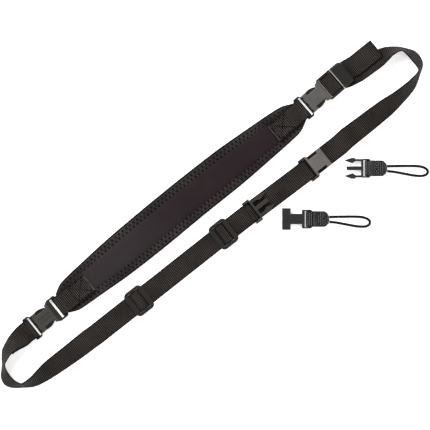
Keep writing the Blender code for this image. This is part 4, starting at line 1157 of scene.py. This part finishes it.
class STRAP_OT_pad(bpy.types.Operator):
    """Pad: a leaf-shaped foam pad with a smooth middle, a stitched border and a black bound edge"""

    bl_idname = "strap.pad"
    bl_label = "Padded Section"

    def execute(self, context):
        sizes = context.scene.strap_pad
        colour, sheen_tone = tuple(sizes.colour), tuple(sizes.sheen_tone)
        smooth_cloth = cloth_finish("pad_cloth", colour, 900.0, 0.82, 0.22, 0.02, sheen_tone)
        border_cloth = cloth_finish("pad_border_cloth", tuple(sizes.border_colour), 560.0, 0.85, 0.55, 0.02)
        edge_cloth = cloth_finish("pad_edge_cloth", (0.004, 0.004, 0.004), 900.0, 0.8, 0.3, 0.0)
        bm = bmesh.new()
        border_at = sizes.border / MM
        offs = [*EDGE_ROWS, sizes.binding / MM, *BORDER_ROWS, border_at - SEAM_WIDTH, border_at]
        offs += [border_at + step for step in CROWN_ROWS]
        rows = []
        for column in range(PAD_COLUMNS + 1):
            x = PAD_START + PAD_LENGTH * (0.5 - 0.5 * math.cos(math.pi * column / PAD_COLUMNS))
            y_middle, half = pad_edges(x)
            scale = min(1.0, half * 0.93 / (sizes.border + CROWN_REACH))
            places = [off * MM * scale for off in offs]
            low = pad_lift(x)
            row = [bm.verts.new(Vector((x, y_middle - half + PAD_TUCK, low)) + SHIFT)]
            left = [(-half + off, off) for off in places]
            right = [(half - off, off) for off in reversed(places)]
            for y, off in left + [(0.0, half)] + right:
                ripple = PAD_RIPPLE * math.sin(x * 210.0 + y * 60.0) * math.sin(y * 95.0 + x * 33.0)
                inside = off > sizes.border * scale
                rise = pad_level(x, off, sizes.border * scale) + (ripple if inside else 0.0)
                row.append(bm.verts.new(Vector((x, y_middle + y, rise)) + SHIFT))
            row.append(bm.verts.new(Vector((x, y_middle + half - PAD_TUCK, low)) + SHIFT))
            rows.append(row)
        across = len(rows[0])
        binding_rows = len(EDGE_ROWS)
        border_rows = offs.index(border_at)
        for lower, upper in zip(rows, rows[1:]):
            for number in range(across):
                after = (number + 1) % across
                face = bm.faces.new((lower[number], upper[number], upper[after], lower[after]))
                inner = min(number - 1, across - 3 - number)
                if number == 0 or number >= across - 2 or inner < binding_rows:
                    face.material_index = 2
                else:
                    face.material_index = 1 if inner < border_rows else 0
        for ring in (rows[0], list(reversed(rows[-1]))):
            bm.faces.new(ring).material_index = 2
        bmesh.ops.recalc_face_normals(bm, faces=bm.faces)
        pad = new_piece("pad_cover", bm, [smooth_cloth, border_cloth, edge_cloth])
        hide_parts("pad")
        self.stitches(sizes)
        return {"FINISHED"}

    def stitches(self, sizes):
        """Zigzag thread over the border, and near-black cones of painted shade for the needle holes that it
        turns at.
        """
        grey = thread_finish("border_thread", (0.006, 0.005, 0.005))
        # Needle holes: near-black cones standing in for the shade inside each hole, a painted shade
        hole_shade = thread_finish("needle_hole", (0.002, 0.002, 0.002), 0.95)
        strokes, places = [], []
        count = int(PAD_LENGTH / sizes.stitch)
        for side in (-1.0, 1.0):
            turns = []
            for number in range(2 * count + 1):
                x = PAD_START + PAD_LENGTH * (number + 0.5) / (2 * count + 1)
                y_middle, half = pad_edges(x)
                off = OUTER_ROW if number % 2 else sizes.border * INNER_ROW_SHARE
                if half < sizes.border * 1.6:
                    continue
                level = pad_level(x, off, sizes.border)
                turns.append(Vector((x, y_middle + side * (half - off), level + ZIGZAG_LIFT)) + SHIFT)
            for here, there in zip(turns, turns[1:]):
                strokes.append((here.lerp(there, 0.10), here.lerp(there, 0.90)))
            places += [turn - UP * NEEDLE_SUNK for turn in turns]
        thread = threads("border_stitches", strokes, BORDER_THREAD, grey)
        holes = discs("border_needle_hole_shades", places, NEEDLE_HOLE, NEEDLE_TALL, hole_shade)


# Webbing

def tab_box(stations, start, end, side, cross):
    """Corner-to-corner stitch lines on the top layer of a tab between two distances from its sewn end."""
    path = [Vector(station[0]) for station in stations]
    lengths = [0.0]
    for here, there in zip(path, path[1:]):
        lengths.append(lengths[-1] + (there - here).length)
    total = lengths[-1]

    def spot(along, off):
        target = total - along
        index = max(i for i in range(len(lengths) - 1) if lengths[i] <= target + 1e-9)
        share = (target - lengths[index]) / max(lengths[index + 1] - lengths[index], 1e-9)
        centre = path[index].lerp(path[index + 1], share)
        return centre + SHIFT + stations[index][1] * off + UP * (WEB_THICK / 2 + STITCH_LIFT)

    corners = [spot(start, -side), spot(start, side), spot(end, side), spot(end, -side)]
    lines = []
    for here, there in zip(corners, corners[1:] + corners[:1]):
        lines.append([here, here.lerp(there, 0.5), there])
    if cross:
        lines.append([corners[0], corners[2]])
        lines.append([corners[1], corners[3]])
    return lines


class STRAP_OT_webbing(bpy.types.Operator):
    """Long webbing: one ribbed tape from its sewn fold through both bends, the slides and the ladder lock"""

    bl_idname = "strap.webbing"
    bl_label = "Long Webbing"

    def execute(self, context):
        sizes = context.scene.strap_webbing
        finish = webbing_finish("webbing", sizes)
        stations = smooth_stations(webbing_keys(), 2.5 * MM)
        piece = tape("long_webbing_tape", stations, finish)
        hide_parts("long_webbing")
        thread = thread_finish("black_thread", (0.006, 0.006, 0.006))
        hem = []
        centre, across, half = stations[-1]
        along = (stations[-1][0] - stations[-4][0]).normalized()
        normal = along.cross(across).normalized()
        if normal.z < 0:
            normal = -normal
        lift = normal * (WEB_THICK / 2 + STITCH_LIFT)
        for back in HEM_BACKS:
            line = []
            for share in (-0.92, 0.0, 0.92):
                line.append(centre - along * back + across * half * share + SHIFT + lift)
            hem += stitch_line(line, 2.6 * MM, 0.8)
        stitches = threads("tail_hem_stitches", hem, HEM_THREAD, thread)
        return {"FINISHED"}


class STRAP_OT_tabs(bpy.types.Operator):
    """Tabs: folded webbing sewn on the pad's ends, with their stitching"""

    bl_idname = "strap.tabs"
    bl_label = "Sewn Tabs"

    def execute(self, context):
        sizes = context.scene.strap_webbing
        finish = webbing_finish("tab_webbing", sizes, 1.15)
        thread = thread_finish("tab_thread", (0.002, 0.002, 0.002))
        pale = thread_finish("hem_thread", (0.090, 0.084, 0.078))
        for side, stations in pad_tab_pairs():
            stations = smooth_stations(stations, 3.0 * MM)
            tab = tape("pad_tab_%s_tape" % side, stations, finish)
            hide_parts("pad_tab_" + side)
            strokes = []
            for line in tab_box(stations, BOX_START, BOX_END, WEB_WIDTH * 0.42, True):
                strokes += stitch_line(line, 2.8 * MM, 0.82)
            sewn = threads("pad_tab_%s_stitches" % side, strokes, BOX_THREAD, thread)
            edge = tab_box(stations, 1.0 * MM, 1.9 * MM, WEB_WIDTH * 0.46, False)[0]
            strokes = stitch_line(edge, 2.0 * MM, 0.95)
            line = threads("pad_tab_%s_hem" % side, strokes, EDGE_THREAD, pale)
        return {"FINISHED"}


class STRAP_OT_connectors(bpy.types.Operator):
    """Connector tabs and cords: small round-ended tabs with dotted stitching, and a cord loop in each"""

    bl_idname = "strap.connectors"
    bl_label = "Connector Tabs and Cords"

    def execute(self, context):
        sizes = context.scene.strap_webbing
        finish = webbing_finish("connector_webbing", sizes, 0.8, CONNECTOR_TAB_WIDTH, sizes.tab, 1.0)
        thread = thread_finish("connector_thread", (0.003, 0.003, 0.003))
        braid = cord_finish("braided_cord")
        for kind, place, yaw, face, direction, depth, start, cord_side in connector_facts():
            keys = connector_tab_stations(place, yaw, face, direction, depth)
            tab = tape("connector_%s_tab_tape" % kind, smooth_stations(keys, 2.0 * MM), finish)
            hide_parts("connector_%s_tab" % kind)
            upper = WEB_LAYER + WEB_THICK + STITCH_LIFT
            strokes = []
            for row in range(DOT_ROWS):
                for number in range(DOT_ROWS):
                    if (row + number) % 2:
                        continue
                    u = depth + CONNECTOR_TAB_RAMP + DOT_START + number * DOT_STEP
                    v = (row - DOT_ROWS // 2) * DOT_APART
                    ends = ((u, v), (u + 1.2 * MM, v + 1.0 * MM))
                    spots = [from_local(place, yaw, face + direction * a, b, upper) for a, b in ends]
                    strokes.append([spot + SHIFT for spot in spots])
            dots = threads("connector_%s_stitches" % kind, strokes, DOT_THREAD, thread)
            self.loop(kind, place, yaw, start, direction, cord_side, braid)
        return {"FINISHED"}

    def loop(self, kind, place, yaw, start, direction, side, material):
        """Cord loop as a round tube with a braid map."""
        line = [from_local(place, yaw, *point) + SHIFT for point in cord_points(start, direction, side)]
        line = smooth_line(line, 1.2 * MM)
        bm = bmesh.new()
        weave = bm.loops.layers.uv.new("Weave")
        rings, runs = [], [0.0]
        last = len(line) - 1
        for index, point in enumerate(line):
            if index:
                runs.append(runs[-1] + (point - line[index - 1]).length)
            along = (line[min(index + 1, last)] - line[max(index - 1, 0)]).normalized()
            out = along.cross(UP).normalized() * CORD_RADIUS
            rings.append(circle(bm, point, out, out.cross(along), CORD_SIDES))
        skin(bm, rings, weave, lambda station, number: (runs[station], number / CORD_SIDES))
        bmesh.ops.recalc_face_normals(bm, faces=bm.faces)
        cord = new_piece("connector_%s_cord_braid" % kind, bm, [material])
        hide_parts("connector_%s_cord" % kind)


# Moulded parts

# A prong's outer arm: share of the notch's far end along, share of the body's half width across
PRONG_ARM = (
    (0.34, 0.975),
    (0.50, 0.985),
    (0.68, 0.945),
    (0.84, 0.850),
    (0.99, 0.715),
)
ARM_WIDTH = 1.3 * MM


def ridge(bm, place, yaw, x_low, x_high, y, width, low, high):
    """Add one low moulded ridge with sloped sides to a mesh, in a piece's own frame."""
    rings = []
    for level, share in ((low, 0.0), (high, 0.3)):
        inset = width * share
        left, right = x_low + inset, x_high - inset
        near, far = y - width / 2 + inset, y + width / 2 - inset
        corners = ((left, near), (right, near), (right, far), (left, far))
        rings.append([bm.verts.new(from_local(place, yaw, u, v, level) + SHIFT) for u, v in corners])
    skin(bm, rings)


def flat_piece(name, bm, material):
    """Hard-edged piece from a bmesh."""
    bmesh.ops.recalc_face_normals(bm, faces=bm.faces)
    piece = new_piece(name, bm, [material])
    for polygon in piece.data.polygons:
        polygon.use_smooth = False
    return piece


class STRAP_OT_plastic(bpy.types.Operator):
    """Buckles, slides and open halves: moulded plastic over the solids, with their raised ribs"""

    bl_idname = "strap.plastic"
    bl_label = "Moulded Parts"

    def execute(self, context):
        sizes = context.scene.strap_plastic
        _, lift_start, lift_end = ladder_places()
        frame_start = BODY_LENGTH + SHOULDER_LENGTH
        soft_edge = 2 * sizes.edge
        dark_tone = tuple(sizes.dark)
        frame_tone = tuple(value * 2 for value in sizes.dark)
        tone_and_highlight_bands = ((LEFT_MOUTH, LEFT_YAW, frame_start - SHOULDER_LENGTH / 2, frame_start * 2, frame_tone),)
        left = plastic_finish("left_buckle_plastic", tuple(sizes.left), soft_edge, wear=0.2, tone_and_highlight_bands=tone_and_highlight_bands)
        tone_and_highlight_bands = (
            (RIGHT_MOUTH, RIGHT_YAW, frame_start, lift_end + LIFT_CORNER, dark_tone),
            # Thin pale band at the lift tab's front edge: a painted highlight standing in for the light caught
            # on its rounded lip
            (RIGHT_MOUTH, RIGHT_YAW, lift_start - GAP, lift_start + 0.9 * MM, (0.34, 0.325, 0.30)),
        )
        right = plastic_finish("right_buckle_plastic", tuple(sizes.right), soft_edge, wear=0.15, tone_and_highlight_bands=tone_and_highlight_bands)
        half = plastic_finish("male_half_plastic", dark_tone, soft_edge, roughness=0.36, wear=0.25)
        female_at = (SLIDER_FEMALE_X, run_y(SLIDER_FEMALE_X - SLIDE_FEMALE_BODY))
        tone_and_highlight_bands = ((female_at, math.pi, SLIDE_FEMALE_BODY - GAP, 2 * SLIDE_FEMALE_BODY, frame_tone),)
        slider = plastic_finish("slider_plastic", tuple(sizes.slider), soft_edge, wear=0.2, tone_and_highlight_bands=tone_and_highlight_bands)
        open_half = plastic_finish("open_half_plastic", tuple(sizes.male), soft_edge, 0.36, 0.25)
        dark = plastic_finish("slide_plastic", frame_tone, soft_edge, roughness=0.40, wear=0.10)
        loose = plastic_finish("connector_plastic", tuple(sizes.loose), sizes.edge)
        finishes = {
            "left_buckle_female": left,
            "left_buckle_male": half,
            "right_buckle_male": half,
            "right_buckle_female": right,
            "slider_male": open_half,
            "slider_female": slider,
            "tri_glide_lower": dark,
            "tri_glide_upper": dark,
            "connector_male_buckle": loose,
            "connector_female_buckle": loose,
        }
        for name, finish in finishes.items():
            node = frame["nodes"][name]
            node.data.materials.clear()
            node.data.materials.append(finish)
        self.ribs(half, slider, loose)
        self.arms(half)
        return {"FINISHED"}

    def arms(self, finish):
        """Curved outer arms of the prongs, that show in the side notches of the two fastened buckles."""
        low = BODY_TALL / 2 - PRONG_TALL / 2 + GAP
        high = BODY_TALL / 2 + PRONG_TALL / 2 + FINE_EDGE
        for kind, mouth, yaw in (("left", LEFT_MOUTH, LEFT_YAW), ("right", RIGHT_MOUTH, RIGHT_YAW)):
            bm = bmesh.new()
            for side in (-1, 1):
                keys = [(u * NOTCH_END, side * v * BODY_HALF, 0.0) for u, v in PRONG_ARM]
                line = smooth_line(keys, 1.0 * MM)
                rings = []
                for index, point in enumerate(line):
                    way = line[min(index + 1, len(line) - 1)] - line[max(index - 1, 0)]
                    out = Vector((-way.y, way.x, 0.0)).normalized() * ARM_WIDTH / 2
                    soft = out * 0.55
                    side_top = high - SOFT_EDGE
                    section = ((-out, low), (-out, side_top), (-soft, high))
                    section += ((soft, high), (out, side_top), (out, low))
                    ring = []
                    for off, level in section:
                        spot = point + off
                        ring.append(bm.verts.new(from_local(mouth, yaw, spot.x, spot.y, level) + SHIFT))
                    rings.append(ring)
                skin(bm, rings)
            flat_piece(kind + "_buckle_prong_arms", bm, finish)

    def ribs(self, dark, slider, loose):
        """Two raised ribs down the middle of the female bodies; the left buckle's ribs are near-black, painted
        shade for the channel between them.
        """
        top = BODY_TALL
        slider_at = (SLIDER_FEMALE_X, run_y(SLIDER_FEMALE_X - SLIDE_FEMALE_BODY))
        loose_at = CONNECTOR_FEMALE_AT
        bodies = (
            # The left buckle's ribs take the near-black prong plastic: painted shade that makes them read as
            # the dark channel lines along the body
            ("left_buckle_ribs", LEFT_MOUTH, LEFT_YAW, 4.5, 21.0, 2.6, top, dark, "buckle_plastic"),
            ("slider_ribs", slider_at, math.pi, 1.5, 20.0, 4.0, top + WEB_LAYER, slider, "buckle_plastic"),
            ("connector_ribs", loose_at, CONNECTOR_TURN, 1.5, 23.0, 2.6, top, loose, "connector_plastic"),
        )
        for name, place, yaw, x_low, x_high, y, level, finish, slot_name in bodies:
            bm = bmesh.new()
            for side in (-1, 1):
                reach = (x_low * MM, x_high * MM, side * y * MM)
                ridge(bm, place, yaw, *reach, RIB_WIDTH, level - RIB_SUNK, level + RIB_RISE)
            flat_piece(name, bm, finish)


# Stage

def soft_light(name, place, target, size, power):
    """Square area light aimed at a point."""
    light = bpy.data.lights.new(name, "AREA")
    light.shape = "SQUARE"
    light.size = size
    light.energy = power
    lamp = bpy.data.objects.new(name, light)
    lamp.location = place
    aim = Vector(target) - Vector(place)
    lamp.rotation_euler = aim.to_track_quat("-Z", "Y").to_euler()
    bpy.context.scene.collection.objects.link(lamp)


class STRAP_OT_stage(bpy.types.Operator):
    """Stage: pale floor, soft studio light and a camera straight above, turned as the picture is"""

    bl_idname = "strap.stage"
    bl_label = "Floor, Light and Camera"

    def execute(self, context):
        sizes = context.scene.strap_stage
        scene = context.scene
        bm = bmesh.new()
        bmesh.ops.create_grid(bm, x_segments=1, y_segments=1, size=6.0)
        mesh = bpy.data.meshes.new("floor")
        bm.to_mesh(mesh)
        bm.free()
        floor = bpy.data.objects.new("floor", mesh)
        floor.location.z = -0.2 * MM
        scene.collection.objects.link(floor)
        made = Recipe("floor", roughness=0.9, specular=0.1)
        made.shader.inputs["Emission Color"].default_value = (1.0, 1.0, 1.0, 1.0)
        made.shader.inputs["Emission Strength"].default_value = sizes.glow
        grain = made.add("TexNoise", {"Vector": made.add("TexCoord").outputs["Object"], "Scale": 3.0})
        shade = made.ramp(grain.outputs["Fac"], ((0.0, (0.86, 0.86, 0.86)), (1.0, (0.90, 0.90, 0.90))))
        mesh.materials.append(made.surface(shade))
        world = bpy.data.worlds.new("studio")
        world.use_nodes = True
        self.sky(world.node_tree, sizes.sky)
        scene.world = world
        turn = Matrix.Rotation(-sizes.roll, 3, "Z")
        middle = Vector((SHIFT.x - 0.1 * MM, SHIFT.y + 0.9 * MM, 0.0))
        soft_light("key", middle + turn @ Vector((-0.9, 0.9, 1.6)), middle, 1.2, sizes.sun)
        soft_light("fill", middle + turn @ Vector((1.2, -0.4, 1.8)), middle, 1.6, sizes.sun * 0.35)
        camera = bpy.data.cameras.new("camera")
        camera.sensor_width = 36.0
        camera.lens = 36.0 * sizes.height / sizes.span
        camera.clip_end = 20.0
        eye = bpy.data.objects.new("camera", camera)
        eye.location = middle + Vector((0.0, 0.0, sizes.height))
        eye.rotation_euler = (0.0, 0.0, -sizes.roll)
        scene.collection.objects.link(eye)
        scene.camera = eye
        scene.view_settings.view_transform = "Standard"
        return {"FINISHED"}

    def sky(self, tree, strength):
        """Light all round, dim straight overhead and bright towards the horizon."""
        place = tree.nodes.new("ShaderNodeTexCoord")
        parts = tree.nodes.new("ShaderNodeSeparateXYZ")
        ramp = tree.nodes.new("ShaderNodeValToRGB")
        background = tree.nodes["Background"]
        elements = ramp.color_ramp.elements
        for position, grey in ((0.62, 0.62), (0.88, 0.16)):
            elements.new(position).color = (grey, grey, grey, 1.0)
        elements[0].color = (1.0, 1.0, 1.0, 1.0)
        elements[-1].color = (0.10, 0.10, 0.10, 1.0)
        tree.links.new(place.outputs["Generated"], parts.inputs[0])
        tree.links.new(parts.outputs["Z"], ramp.inputs["Fac"])
        tree.links.new(ramp.outputs["Color"], background.inputs["Color"])
        background.inputs["Strength"].default_value = strength


class STRAP_PT_panel(bpy.types.Panel):
    """Strap settings and steps"""

    bl_label = "Camera Neck Strap"
    bl_idname = "STRAP_PT_panel"
    bl_space_type = "VIEW_3D"
    bl_region_type = "UI"
    bl_category = "Strap"

    def draw(self, context):
        for settings in ("strap_webbing", "strap_pad", "strap_plastic", "strap_stage"):
            box = self.layout.box()
            group = getattr(context.scene, settings)
            for key in group.__annotations__:
                box.prop(group, key)
        for operator in OPERATORS:
            self.layout.operator(operator.bl_idname)


GROUPS = {
    "strap_webbing": StrapWebbing,
    "strap_pad": StrapPad,
    "strap_plastic": StrapPlastic,
    "strap_stage": StrapStage,
}
OPERATORS = (
    STRAP_OT_stage,
    STRAP_OT_connectors,
    STRAP_OT_pad,
    STRAP_OT_webbing,
    STRAP_OT_tabs,
    STRAP_OT_plastic,
)


def register():
    """Register every class and its settings."""
    for group in GROUPS.values():
        bpy.utils.register_class(group)
    for key, group in GROUPS.items():
        setattr(bpy.types.Scene, key, bpy.props.PointerProperty(type=group))
    for operator in OPERATORS:
        bpy.utils.register_class(operator)
    bpy.utils.register_class(STRAP_PT_panel)


def unregister():
    """Take the classes and settings away again."""
    bpy.utils.unregister_class(STRAP_PT_panel)
    for operator in reversed(OPERATORS):
        bpy.utils.unregister_class(operator)
    for key, group in GROUPS.items():
        delattr(bpy.types.Scene, key)
        bpy.utils.unregister_class(group)


def main():
    """Build the strap piece by piece."""
    register()
    bpy.ops.strap.stage()
    bpy.ops.strap.connectors()
    bpy.ops.strap.pad()
    bpy.ops.strap.webbing()
    bpy.ops.strap.tabs()
    bpy.ops.strap.plastic()


if __name__ == "__main__":
    main()
